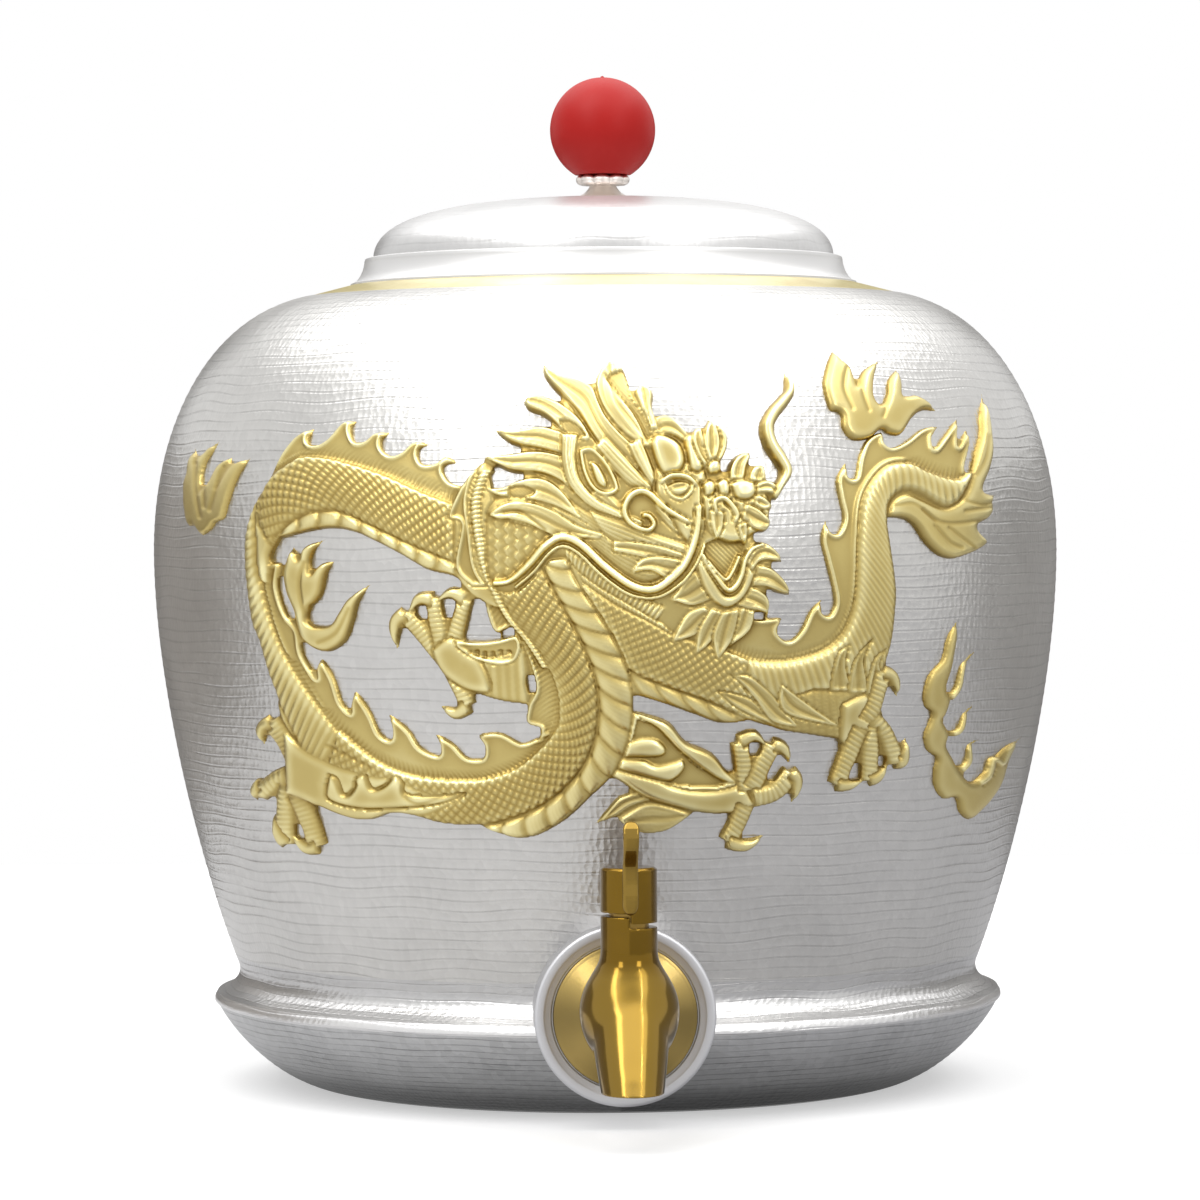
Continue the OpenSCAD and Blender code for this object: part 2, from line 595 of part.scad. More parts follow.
module lid_dome() color(SILVER) difference() {
    inner = offset_by(dome_line, -wall);
    rotate_extrude() polygon(concat(
        dome_line, [[dome_r - wall, rim_top]],
        [for (p = reversed(inner)) if (p[1] > rim_top + 0.2 && p[0] > 1) p], [[0, dome_top - wall]]));
    translate([0, 0, rim_top]) cylinder(r = stud_r + slip, h = dome_h + 1);
}

module knob_stem() color(SILVER) difference() {
    rotate_extrude() polygon(concat(
        [[0, stem_foot], [stem_d / 2, stem_foot]],
        curve([stem_d / 2, stem_foot + 0.2], [stem_d / 2 - 2, stem_foot + 0.7],
            [neck_d / 2 + 0.6, collar_foot - 1.2], [neck_d / 2, collar_foot], 5),
        [[0, collar_foot]]));
    translate([0, 0, stem_foot - 1]) cylinder(r = stud_r + slip, h = stem_h + 2);
}

// Cup whose rolled rim is notched into petals
module knob_collar() color(SILVER) difference() {
    rim_r = petal_ring_h * 0.42;
    rim_mid = [petal_ring_d / 2 - rim_r, ball_seat - rim_r];
    rotate_extrude() polygon(concat(
        [[0, collar_foot], [neck_d / 2, collar_foot]],
        [for (a = [-50:20:90]) rim_mid + rim_r * [cos(a), sin(a)]],
        [[0, ball_seat]]));
    for (i = [0:petals - 1]) rotate([0, 0, 360 * i / petals])
        translate([petal_ring_d / 2, 0, collar_foot]) cylinder(d = notch_d, h = petal_ring_h + 1);
    translate([0, 0, collar_foot - 1]) cylinder(r = stud_r + slip, h = petal_ring_h + 2);
}

module knob_ball() color(RED) difference() {
    seat_angle = asin(ball_seat_r / ball_r);
    rotate_extrude() polygon(concat(
        [[0, ball_seat], [ball_seat_r, ball_seat]],
        [for (a = [180 - seat_angle - 8:-8:8]) [ball_r * sin(a), ball_centre + ball_r * cos(a)]],
        [[0, ball_centre + ball_r + ball_point]]));
    translate([0, 0, ball_seat - 1]) cylinder(r = stud_r + slip, h = stud_top - ball_seat + 2);
}

module knob_stud() color(GOLD) translate([0, 0, stud_foot]) cylinder(r = stud_r, h = stud_top - stud_foot);

module knob_washer() color(SILVER) ring(2.4 * stud_r, stud_r + slip, nut_top, washer_top);

module knob_nut() color(SILVER) hexagon(3.2 * stud_r, stud_r + slip, nut_top - knob_nut_h, nut_top);

module tap_boss() color(SILVER) difference() {
    boss_r = boss_d / 2;
    seat = flange_d / 2 + 0.3;
    along_tap() rotate_extrude() polygon([
        [0, 60], [boss_r, 60], [boss_r, boss_reach + boss_rim_h - 0.6],
        [boss_r - 0.6, boss_reach + boss_rim_h], [boss_r - boss_rim_w + 0.8, boss_reach + boss_rim_h],
        [boss_r - boss_rim_w, boss_reach + 0.2], [seat + 0.6, boss_reach - 0.5], [seat, boss_reach],
        [0, boss_reach]]);
    vessel_space(0.15);
    shank_cut();
    along_tap() translate([0, 0, boss_reach - front_washer_t])
        cylinder(r = washer_d / 2 + slip, h = front_washer_t + 1);
}

module front_washer() color(RUBBER) along_tap()
    ring(washer_d / 2, shank_hole, boss_reach - front_washer_t, boss_reach);

module tap_flange() color(GOLD) along_tap() difference() {
    flange_r = flange_d / 2;
    rotate_extrude() polygon([
        [0, boss_reach], [flange_r, boss_reach], [flange_r, boss_reach + 1],
        [flange_r - 0.5, boss_reach + 1.4], [tap_neck_d / 2 + 1.4, flange_face - 0.5],
        [tap_neck_d / 2 + 0.9, flange_face], [0, flange_face]]);
    translate([0, 0, boss_reach - 1]) cylinder(r = shank_hole, h = flange_t + 2);
}

// Outside of the tap's casting: bulb and barrel in one turning, with the neck and the spout
module tap_form() {
    fillet_top = bulb_h + bulb_r - 0.6;
    translate([0, -barrel_reach, 0]) rotate_extrude() polygon(concat(
        [for (a = [0:10:130]) [bulb_r * sin(a), bulb_h - bulb_r * cos(a)]],
        curve([bulb_r * sin(138), bulb_h - bulb_r * cos(138)], [barrel_r + 0.6, fillet_top - 1.6],
            [barrel_r, fillet_top], [barrel_r, fillet_top + 3], 5),
        [[barrel_r, barrel_top], [0, barrel_top]]));
    along_tap() rotate_extrude() polygon([
        [0, flange_face], [tap_neck_d / 2, flange_face], [tap_neck_d / 2, flange_face + 2],
        [tap_neck_d / 2 - 1, flange_face + 4], [tap_neck_d / 2 - 1, barrel_reach - 4],
        [0, barrel_reach - 4]]);
    intersection() {
        union() {
            translate(spout_start) rotate([180 - spout_tilt, 0, 0]) cylinder(
                d1 = spout_root_d, d2 = 2 * spout_tip_d - spout_root_d, h = 2 * spout_len);
            translate(spout_start) sphere(d = spout_root_d);
        }
        translate([-50, -2 * barrel_reach, spout_tip_h]) cube([100, 2 * barrel_reach, 2 * bulb_h]);
    }
    along_tap() translate([0, 0, shank_end]) cylinder(r = shank_r, h = flange_face - shank_end + 1);
    translate([0, -barrel_reach, 0]) wedge(-90 - raised_angle, raised_angle, barrel_top - 2, raised_top);
}

module tap_body() color(GOLD) difference() {
    intersection() {
        tap_form();
        union() {
            translate([0, -barrel_reach, barrel_top - 4]) cylinder(r = barrel_r, h = step_h + 8);
            translate([-50, -2 * barrel_reach, 0]) cube([100, 2 * barrel_reach, barrel_top]);
        }
    }
    translate([0, -barrel_reach, chamber_low]) cylinder(r = bore_r, h = 60);
    along_tap() translate([0, 0, shank_end - 1]) cylinder(d = inlet_d, h = barrel_reach - shank_end);
    along_tap() translate([0, 0, barrel_reach - bore_r - seal_t]) cylinder(r = seal_r + 0.02, h = seal_t + bore_r);
    translate(spout_start + 0.34 * spout_run) rotate([180 - spout_tilt, 0, 0])
        cylinder(d = spout_bore_d, h = 2 * spout_len);
    translate([0, -barrel_reach, clip_h]) cylinder(r = bore_r + groove_deep, h = clip_t + 0.1);
}

module inner_washer() color(RUBBER) difference() {
    intersection() {
        along_tap() translate([0, 0, nut_face]) cylinder(r = washer_d / 2, h = 20);
        cylinder(r = saddle_r, h = 100, $fn = 360);
    }
    shank_cut();
}

module back_nut() color(GOLD) along_tap() hexagon(nut_af, shank_hole, nut_face - nut_t, nut_face);

// Hollow plug: the side port faces +X when the tap is shut, and meets the inlet after a quarter turn
module valve_core() color(GOLD) translate([0, -barrel_reach, 0]) difference() {
    union() {
        translate([0, 0, core_low]) cylinder(r = core_r, h = core_shoulder - core_low);
        translate([0, 0, core_shoulder - 1]) cylinder(d = core_stem_d, h = core_stem_top - core_shoulder + 1);
    }
    translate([0, 0, core_low - 1]) cylinder(d = core_bore_d, h = port_h + core_bore_d - core_low + 1);
    translate([0, 0, port_h]) rotate([0, 90, 0]) cylinder(d = inlet_d, h = core_r + 1);
    ring(core_r + 1, core_r - groove_deep, clip_h, clip_h + clip_t + 0.1);
    for (z = o_ring_places) translate([0, 0, z])
        ring(core_r + 1, core_r - o_ring_t - fit, -0.5 * o_ring_t - slip, 0.5 * o_ring_t + slip);
}

module core_o_rings() color(RUBBER) translate([0, -barrel_reach, 0])
    for (z = o_ring_places) translate([0, 0, z]) rotate_extrude()
        translate([core_r - 0.5 * o_ring_t - 0.02, 0]) circle(d = o_ring_t);

module port_seal() color(RUBBER) difference() {
    along_tap() ring(seal_r, inlet_d / 2, barrel_reach - bore_r - seal_t, barrel_reach);
    translate([0, -barrel_reach, 0]) cylinder(r = bore_r + 0.02, h = 100);
}

module retaining_clip() color(SILVER) translate([0, -barrel_reach, 0]) difference() {
    ring(bore_r + groove_deep - 0.05, core_r - groove_deep + 0.05, clip_h + 0.05, clip_h + clip_t);
    translate([-1.5, 0, clip_h - 1]) cube([3, barrel_r, clip_t + 2]);
}

module tap_lever() color(GOLD) union() {
    side = concat(offset_by(lever_spine, 0.5 * lever_t), reversed(offset_by(lever_spine, -0.5 * lever_t)));
    rotate([90, 0, -90]) translate([0, 0, -0.5 * lever_w]) linear_extrude(lever_w) polygon(side);
    translate([-0.5 * tenon_w, -barrel_reach - barrel_r - lever_off - 0.5 * lever_t, tenon_low])
        cube([tenon_w, tenon_deep + lever_off + 0.5 * lever_t, tenon_h]);
}

module tap_cap() color(GOLD) difference() {
    translate([0, -barrel_reach, 0]) union() {
        rotate_extrude() polygon([
            [0, cap_foot], [barrel_r, cap_foot], [barrel_r, cap_top - 0.5], [barrel_r - 0.5, cap_top],
            [0, cap_top]]);
        difference() {
            wedge(-90 + stop_clear, skirt_angle, skirt_low, cap_foot + 1);
            ring(barrel_r + 5, barrel_r, skirt_low - 1, cap_foot + 2);
        }
    }
    translate([0, -barrel_reach, skirt_low - 1])
        cylinder(r = core_r + slip, h = core_shoulder + 2 * slip - skirt_low + 1);
    translate([0, -barrel_reach, skirt_low - 1])
        cylinder(r = core_stem_d / 2 + fit, h = core_stem_top + 2 * slip - skirt_low + 1);
    translate([-0.5 * tenon_w - fit, -barrel_reach - barrel_r - 2, tenon_low - fit])
        cube([tenon_w + 2 * fit, tenon_deep + 2 + fit, tenon_h + 2 * fit]);
    behind_cap() cylinder(r = setscrew_d / 2 + fit, h = barrel_r + 1);
}

module behind_cap() {
    translate([0, -barrel_reach, setscrew_h]) rotate([-90, 0, 0]) children();
}

module cap_setscrew() color(GOLD) behind_cap() translate([0, 0, core_stem_d / 2 + fit])
    cylinder(d = setscrew_d, h = barrel_r - core_stem_d / 2 - 0.4);

body_shell();
lip_ring();
base_pan();
mouth_ring();
dragon();
flames();
lid_rim();
lid_dome();
knob_stem();
knob_collar();
knob_ball();
knob_stud();
knob_washer();
knob_nut();
tap_boss();
front_washer();
tap_flange();
tap_body();
inner_washer();
back_nut();
valve_core();
core_o_rings();
port_seal();
retaining_clip();
tap_cap();
tap_lever();
cap_setscrew();
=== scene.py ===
# %% [markdown]
# # A hammered silver drink urn with a gilt dragon
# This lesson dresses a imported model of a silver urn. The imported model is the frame: it says where each
# piece sits and how the lid and the tap move. Blender works in metres. The shapes are written in mm, as a
# smith would give them, and are scaled once, where a mesh is made. The tap points to -Y.

import math

import bpy
import numpy as np
from mathutils import Matrix, Vector


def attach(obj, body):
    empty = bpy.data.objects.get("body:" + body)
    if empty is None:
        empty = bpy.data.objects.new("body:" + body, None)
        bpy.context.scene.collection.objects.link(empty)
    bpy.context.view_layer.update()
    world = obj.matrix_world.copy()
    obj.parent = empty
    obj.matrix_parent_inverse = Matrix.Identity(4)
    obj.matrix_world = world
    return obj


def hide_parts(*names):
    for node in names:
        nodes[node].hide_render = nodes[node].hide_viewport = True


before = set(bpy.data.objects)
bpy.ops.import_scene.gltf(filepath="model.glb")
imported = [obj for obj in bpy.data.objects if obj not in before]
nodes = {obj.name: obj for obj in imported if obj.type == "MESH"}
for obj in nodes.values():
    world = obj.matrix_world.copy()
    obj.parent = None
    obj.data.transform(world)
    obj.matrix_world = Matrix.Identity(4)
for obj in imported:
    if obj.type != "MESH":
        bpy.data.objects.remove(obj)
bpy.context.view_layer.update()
MM = 0.001
TAU = 2 * math.pi

# %% [markdown]
# The camera comes first, because every proportion is judged through it. The urn is seen from far away
# with a long lens, a little from its left, and from just above its belly. The frame leans by a third of a
# degree. A matrix made of three turns is clearer here than a tracking constraint, which would hide the
# lean.

# %% Camera
EYE_REACH, EYE_H, EYE_TURN = 1.360, 0.163, math.radians(-2.2)
LENS, SENSOR_W = 146.8, 36
AIM_SIDE, AIM_DOWN, LEAN = math.radians(0.064), math.radians(1.265), math.radians(-0.35)
camera_data = bpy.data.cameras.new("camera")
camera_data.lens = LENS
camera_data.sensor_width = SENSOR_W
camera = bpy.data.objects.new("camera", camera_data)
bpy.context.scene.collection.objects.link(camera)
camera.matrix_world = (
    Matrix.Translation((EYE_REACH * math.sin(EYE_TURN), -EYE_REACH * math.cos(EYE_TURN), EYE_H))
    @ Matrix.Rotation(EYE_TURN + AIM_SIDE, 4, "Z")
    @ Matrix.Rotation(math.pi / 2 - AIM_DOWN, 4, "X")
    @ Matrix.Rotation(LEAN, 4, "Z"))
bpy.context.scene.camera = camera
bpy.context.scene.view_settings.view_transform = "Standard"
print("camera at", [round(x, 3) for x in camera.matrix_world.translation])

# %% [markdown]
# Shader maths reads best as plain expressions. This class wraps one socket, so that `1 - mask * 0.3` adds
# the Math nodes by itself. Its `node` method adds any other node: settings first, then what goes into its
# sockets.

# %% A socket that can be calculated with
class Wire:
    """One socket of a shader tree. Sums and products of wires add the Math nodes for them."""

    def __init__(self, tree, socket=None):
        self.tree, self.socket = tree, socket

    def node(self, kind, settings=None, sockets=None, out=0):
        made = self.tree.nodes.new("ShaderNode" + kind)
        for name, value in (settings or {}).items():
            if name == "stops":
                ramp = made.color_ramp.elements
                while len(ramp) < len(value):
                    ramp.new(0.5)
                for stop, (place, tint) in zip(ramp, value):
                    stop.position, stop.color = place, tint
            else:
                setattr(made, name, value)
        for name, value in (sockets or {}).items():
            if isinstance(value, Wire):
                self.tree.links.new(value.socket, made.inputs[name])
            else:
                made.inputs[name].default_value = value
        return Wire(self.tree, made.outputs[out])

    def math(self, operation, *values):
        return self.node("Math", {"operation": operation}, dict(enumerate(values)))

    def __add__(self, other):
        return self.math("ADD", self, other)

    def __radd__(self, other):
        return self.math("ADD", other, self)

    def __sub__(self, other):
        return self.math("SUBTRACT", self, other)

    def __rsub__(self, other):
        return self.math("SUBTRACT", other, self)

    def __mul__(self, other):
        return self.math("MULTIPLY", self, other)

    def __rmul__(self, other):
        return self.math("MULTIPLY", other, self)

    def __truediv__(self, other):
        return self.math("DIVIDE", self, other)

    def __rtruediv__(self, other):
        return self.math("DIVIDE", other, self)

    def __pow__(self, other):
        return self.math("POWER", self, other)

    def __rpow__(self, other):
        return self.math("POWER", other, self)

    def size(self):
        """The value without its sign."""
        return self.math("ABSOLUTE", self)

    def clamp(self):
        return self.node("Clamp", None, {"Value": self})

    def blend(self, low, high):
        """A colour between two others, by this value."""
        return self.node("Mix", {"data_type": "RGBA"}, {0: self, 6: low, 7: high}, out=2)

    def vector(self, x, y, z):
        return self.node("CombineXYZ", None, {"X": x, "Y": y, "Z": z})

    def parts(self):
        """The three numbers of a vector."""
        apart = self.node("SeparateXYZ", None, {0: self}).socket.node
        return [Wire(self.tree, part) for part in apart.outputs]


print("socket class ready")

# %% [markdown]
# A finish starts from Blender's main shader. Numbers that are the same all over a piece are set on it
# directly, and only what changes over the surface comes through nodes. That keeps the trees small, and
# other programs can read the finish too.

# %% Finish helpers
def noise(wire, place, scale, detail=3.0, rough=0.5):
    sockets = {"Vector": place, "Scale": scale, "Detail": detail, "Roughness": rough}
    return wire.node("TexNoise", None, sockets)


def bumps(wire, height, distance, strength=1.0):
    return wire.node("Bump", None, {"Height": height, "Distance": distance, "Strength": strength})


def finish_of(name, constants):
    """A new material, its tree's Wire and its main shader, with the numbers that are the same all over it."""
    material = bpy.data.materials.new(name)
    material.use_nodes = True
    shader = material.node_tree.nodes["Principled BSDF"]
    for socket, value in constants.items():
        shader.inputs[socket].default_value = value
    return material, Wire(material.node_tree), shader


def feed(wire, shader, **sockets):
    for name, value in sockets.items():
        wire.tree.links.new(value.socket, shader.inputs[name.replace("_", " ")])


def colour(red, green, blue):
    return (red, green, blue, 1)


def shades(tone, darker, lighter):
    """Two colours of one tone."""
    return [colour(*(share * c for c in tone)) for share in (darker, lighter)]


print("finish helpers ready")

# %% [markdown]
# The stage is a pale floor in a white room. Polished metal is a mirror of its room, so the room matters
# more than the lamps: grey cards stand outside the picture, as a metal photographer puts them, and give
# the silver its darker edges. Two mats lie under and before the urn. They show in the metal only, and
# grey its flank.

# %% Floor and cards
FLOOR_X, FLOOR_FRONT, FLOOR_BACK = 1.3, -1.7, 0.8
WING_X, WING_Y, WING_TOP = 0.52, -0.02, 0.22
BACK_X, BACK_Y, BACK_TOP = 0.26, 0.34, 0.36
MAT_X, MAT_FRONT = 1.1, -1.4
WHITE, BLACK = colour(1, 1, 1), colour(0, 0, 0)


def flat_piece(name, corners, finish):
    mesh = bpy.data.meshes.new(name)
    mesh.from_pydata(corners, [], [tuple(range(len(corners)))])
    mesh.materials.append(finish)
    piece = bpy.data.objects.new(name, mesh)
    bpy.context.scene.collection.objects.link(piece)
    return piece


def upright(start, end, top):
    (ax, ay), (bx, by) = start, end
    return [(ax, ay, 0), (bx, by, 0), (bx, by, top), (ax, ay, top)]


def lying(start, end, up=MM):
    (ax, ay), (bx, by) = start, end
    return [(ax, ay, up), (bx, ay, up), (bx, by, up), (ax, by, up)]


def seen_directly(wire):
    """1 for a ray from the camera, from a mirror or through glass, and 0 for light that falls on the urn."""
    rays = wire.node("LightPath").socket.node.outputs
    kinds = ("Is Camera Ray", "Is Glossy Ray", "Is Transmission Ray")
    return sum((Wire(wire.tree, rays[kind]) for kind in kinds), 0).clamp()


def card(name, corners, grey, glow=0.0):
    """A card that only the metal sees."""
    material, _, _ = finish_of(name + "_paint", {
        "Base Color": colour(*grey), "Roughness": 1.0, "Emission Color": WHITE, "Emission Strength": glow})
    piece = flat_piece(name, corners, material)
    piece.visible_camera = piece.visible_diffuse = piece.visible_shadow = False


floor_paint, wire, paint = finish_of("floor_paint", {
    "Base Color": colour(0.55, 0.55, 0.55), "Roughness": 0.9, "Emission Strength": 0.5})
feed(wire, paint, Emission_Color=seen_directly(wire).blend(BLACK, WHITE))
flat_piece("floor", lying((-FLOOR_X, FLOOR_FRONT), (FLOOR_X, FLOOR_BACK), 0), floor_paint)
card("card_left", upright((-WING_X, WING_Y), (-BACK_X, BACK_Y), WING_TOP), (0.38, 0.355, 0.33))
card("card_far_right", upright((WING_X, WING_Y), (BACK_X, BACK_Y), WING_TOP), (0.38, 0.37, 0.36))
card("card_back", upright((-BACK_X, BACK_Y), (BACK_X, BACK_Y), BACK_TOP), (0.06, 0.055, 0.05))
# the mats glow a little, a painted light that keeps them grey in the urn's shadow where the metal mirrors
# them
card("mat_left", lying((-MAT_X, MAT_FRONT), (0.0, BACK_Y)), (0.42, 0.42, 0.43), 0.31)
card("mat_right", lying((0.0, MAT_FRONT), (MAT_X, BACK_Y)), (0.29, 0.29, 0.305), 0.20)
print("floor and cards set")

# %% [markdown]
# A curved mirror shows each lamp as a mark of the lamp's own shape. One broad lamp overhead gives the
# bright shoulder, two boxes stand before the urn, a strip hangs at its left and a row of small bulbs at
# its right. The world is white to look at and in the metal, and dimmer as light on the ball and the floor.

# %% Lamps and world
ROOM_LIGHT = 0.4
BULBS, BULB_FIRST, BULB_PITCH = 7, -1.05, 0.2


def lamp(name, place, target, size, power):
    data = bpy.data.lights.new(name, "AREA")
    data.shape, data.energy = "RECTANGLE", power
    data.size, data.size_y = size
    piece = bpy.data.objects.new(name, data)
    bpy.context.scene.collection.objects.link(piece)
    piece.location = place
    piece.rotation_euler = (Vector(target) - Vector(place)).to_track_quat("-Z", "Y").to_euler()


lamp("soft_top", (0.05, 0.0, 1.4), (0.05, 0.0, 0), (2.6, 2.4), 34)
lamp("box_left", (-0.75, -1.2, 0.78), (0, -0.1, 0.08), (0.36, 0.5), 2.0)
lamp("box_right", (0.80, -1.2, 0.72), (0, -0.1, 0.08), (0.36, 0.5), 2.2)
lamp("strip_top", (-0.60, -0.55, 1.2), (-0.3, -0.3, 0), (0.30, 1.1), 4)
for k in range(BULBS):
    lamp("bulb_%d" % k, (0.75, BULB_FIRST + BULB_PITCH * k, 1.2), (0.1, -0.15, 0.03), (0.05, 0.06), 0.2)
world = bpy.data.worlds.new("studio")
bpy.context.scene.world = world
world.use_nodes = True
sky = Wire(world.node_tree)
backdrop = world.node_tree.nodes["Background"]
backdrop.inputs["Color"].default_value = WHITE
glow = ROOM_LIGHT + (1 - ROOM_LIGHT) * seen_directly(sky)
sky.tree.links.new(glow.socket, backdrop.inputs["Strength"])
print(len(bpy.data.lights), "lamps set")

# %% [markdown]
# ## Finishes
# The vessel is silver raised over a stake: rows of hammer blows leave shallow rings two or three mm apart,
# and each row is crossed by narrow upright facets. The rings are real geometry below. The facets are
# finer than any sensible mesh, so they are a bump made from cells laid out round the urn's axis. An image
# would do it too, but cells need no unwrapping. Skin grease and polish make the tone uneven, so colour
# and roughness wander a little. Each blow also carries a painted glint: its colour is a little lighter
# or darker at random. The pan has painted shade towards its foot, and the lip's rolled edge a painted
# highlight.

# %% Silver
BLOW_R, SATIN_R = 0.105, 0.07
MID_SHADE, TARNISH, GLINT, SEAM = 0.55, 0.35, 0.07, 0.22
SEAM_FROM, SEAM_RAMP, GAP_BELOW, GAP_RAMP = 0.72, 4.5, 0.34, 4
GRAIN_SCALE, TARNISH_SCALE = 900, 24
FOOT_SHADE_H, LIP_HIGHLIGHT_FADE = 0.009, 0.002


def round_the_axis(wire, radius):
    """The place, its distance round the urn's axis from the front, and its height, in metres."""
    place = wire.node("TexCoord", out=3)
    x, y, z = place.parts()
    return place, x.math("ARCTAN2", x, y * -1) * radius, z


def hammered_silver(name, blow_w, blow_depth, tone, rough=0.24, slant=0.0, marks=1.0, painted_shade_below=0.0,
                    lip_highlight_below=0.0):
    """Rows of blows. A place's row comes with the mesh, and its blow from the way round the axis."""
    material, wire, shader = finish_of(name, {"Metallic": 1.0})
    place, around, up = round_the_axis(wire, BLOW_R)
    row = wire.node("Attribute", {"attribute_name": "row"}, out=2)
    blow = wire.vector(around / blow_w + row * slant, row, 0)
    dents = wire.node("TexVoronoi", {"voronoi_dimensions": "2D"},
                      {"Vector": blow, "Scale": 1.0, "Randomness": 0.7})
    glint = Wire(wire.tree, dents.socket.node.outputs["Color"]).parts()[0]
    grain, tarnish = noise(wire, place, GRAIN_SCALE, 2), noise(wire, place, TARNISH_SCALE, 4, 0.6)
    broken = noise(wire, wire.vector(around * 45, row * 0.7, 0), 1.0, 2)
    from_middle = (row.math("FRACT", row + 0.5) - 0.5).size() * 2
    whole = ((broken - GAP_BELOW) * GAP_RAMP).clamp()
    seam = ((from_middle - SEAM_FROM) * SEAM_RAMP).clamp() * (0.3 + 0.7 * whole)
    # painted glint: each blow's colour is a little lighter or darker at random, as if its facet caught the
    # light
    shade = MID_SHADE + (tarnish - 0.5) * TARNISH + ((glint - 0.5) * GLINT - seam * SEAM) * marks
    shade = shade.clamp()
    if lip_highlight_below:
        # painted highlight: below this height the rolled lip is lightened, as if it caught the light from
        # above
        painted_lip_highlight = 1 - ((up - lip_highlight_below) / LIP_HIGHLIGHT_FADE).clamp()
        shade = shade + 0.5 * painted_lip_highlight
    dark = 0.55
    if painted_shade_below:
        # painted shade: the pan's colour darkens towards its foot, for the shadowed floor that its lower part
        # reflects
        dark = 0.06
        shade = shade * ((up / FOOT_SHADE_H).clamp() ** 1.25) * (0.58 + 0.42 * (up / painted_shade_below).clamp())
    feed(wire, shader,
         Base_Color=shade.blend(*shades(tone, dark, (2 - dark) * 0.92)),
         Roughness=rough + 0.12 * tarnish + 0.05 * grain,
         Normal=bumps(wire, dents * 0.7 + grain * 0.2 - seam * 0.5, blow_depth))
    return material


def satin_silver(name, tone, rough):
    """Smooth silver with the faint level streaks of the polishing wheel."""
    material, wire, shader = finish_of(name, {"Metallic": 1.0})
    place, around, up = round_the_axis(wire, SATIN_R)
    streak = noise(wire, wire.vector(around * 25, up * 2200, 0), 1.0, 2)
    cloud = noise(wire, place, 30, 3)
    feed(wire, shader,
         Base_Color=cloud.blend(*shades(tone, 0.94, 1.03)),
         Roughness=rough + 0.08 * cloud + 0.05 * streak,
         Normal=bumps(wire, streak, 0.00001, 0.6))
    return material


body_silver = hammered_silver("body_silver", 0.0015, 0.00014, (0.60, 0.590, 0.570))
cove_silver = hammered_silver("cove_silver", 0.0021, 0.00016, (0.56, 0.555, 0.55), slant=0.6,
                              lip_highlight_below=0.0285)
lid_silver = hammered_silver("lid_silver", 0.0026, 0.00006, (0.62, 0.615, 0.61), 0.29, marks=0.5)
pan_silver = hammered_silver("pan_silver", 0.0018, 0.00014, (0.56, 0.56, 0.56), painted_shade_below=0.026)
smooth_silver = satin_silver("smooth_silver", (0.56, 0.55, 0.54), 0.24)
rim_silver = satin_silver("rim_silver", (0.68, 0.675, 0.67), 0.34)
boss_silver = satin_silver("boss_silver", (0.61, 0.61, 0.625), 0.42)
# painted reflection: the knob's silver is tinted warm pink for the red ball that it mirrors
ball_tinted_silver = satin_silver("ball_tinted_silver", (0.80, 0.74, 0.69), 0.30)
print("silver finishes ready")

# %% [markdown]
# The tap is brass, plated and lacquered: a warm mirror. Its cap and barrel are painted darker above a
# height, a painted dark reflection of the room before them. Its flange keeps the lathe's rings as a bump,
# and the wedges of light that they catch are painted into its colour. The mouth ring and the dragon are
# gilt, which is paler and softer, and rubs bright on what stands high; on the dragon that brightness is
# partly a painted highlight, and its hollows hold painted shade. The ball is satin red, and the seals are
# black rubber.

# %% Gold, gilt, red and rubber
DARK_REFLECTION_LOW, DARK_REFLECTION_HIGH, DARK_REFLECTION_FADE = colour(0.150, 0.082, 0.007), colour(0.225, 0.132, 0.014), 0.004
LATHE_PITCH = 0.00022
# painted shade and highlight: the ramp runs from dark for hollows to pale for what stands high and faces the
# lamps
GILT_TONES = [
    (0.0, colour(0.27, 0.18, 0.045)), (0.30, colour(0.42, 0.31, 0.10)),
    (0.60, colour(0.57, 0.455, 0.172)), (1.0, colour(0.93, 0.85, 0.46))]


def polished_gold(name, tone, rough, turned_about=None, groove=0.0, dark_reflection_above=None):
    """Lacquered brass, with a painted dark reflection above a height. `turned_about` is the height of the
    lathe's line, round which wedges of painted highlight are laid.
    """
    material, wire, shader = finish_of(name, {"Metallic": 1.0, "Coat Weight": 0.15, "Coat Roughness": 0.04})
    place = wire.node("TexCoord", out=3)
    cloud, scuff = noise(wire, place, 60, 3), noise(wire, place, 700, 2)
    shade = cloud
    low, high = shades(tone, 0.86, 1.06)
    height = scuff * 0.002 + noise(wire, place, 120, 1) * 0.12
    if dark_reflection_above is not None:
        # painted reflection: above this height the colour turns darker, for the dark room that the cap and
        # barrel mirror
        deep = ((place.parts()[2] - dark_reflection_above) / DARK_REFLECTION_FADE).clamp()
        low, high = deep.blend(low, DARK_REFLECTION_LOW), deep.blend(high, DARK_REFLECTION_HIGH)
    if turned_about is not None:
        x, _, z = place.parts()
        up = z - turned_about
        ring = (x * x + up * up) ** 0.5
        height = height + ring.math("SINE", ring * (TAU / LATHE_PITCH)) * groove
        # painted highlight: bright wedges at the diagonals, stronger on the upper half, where the lathe's
        # rings would catch the lamps
        painted_wedge_light = (2 * x * up / (ring * ring)).size() ** 2
        shade = (cloud * 0.3 + painted_wedge_light * (0.62 + 0.38 * up / ring)).clamp()
        low, high = shades(tone, 0.62, 1.75)
    feed(wire, shader, Base_Color=shade.blend(low, high), Roughness=rough + 0.08 * cloud,
         Normal=bumps(wire, height, MM))
    return material


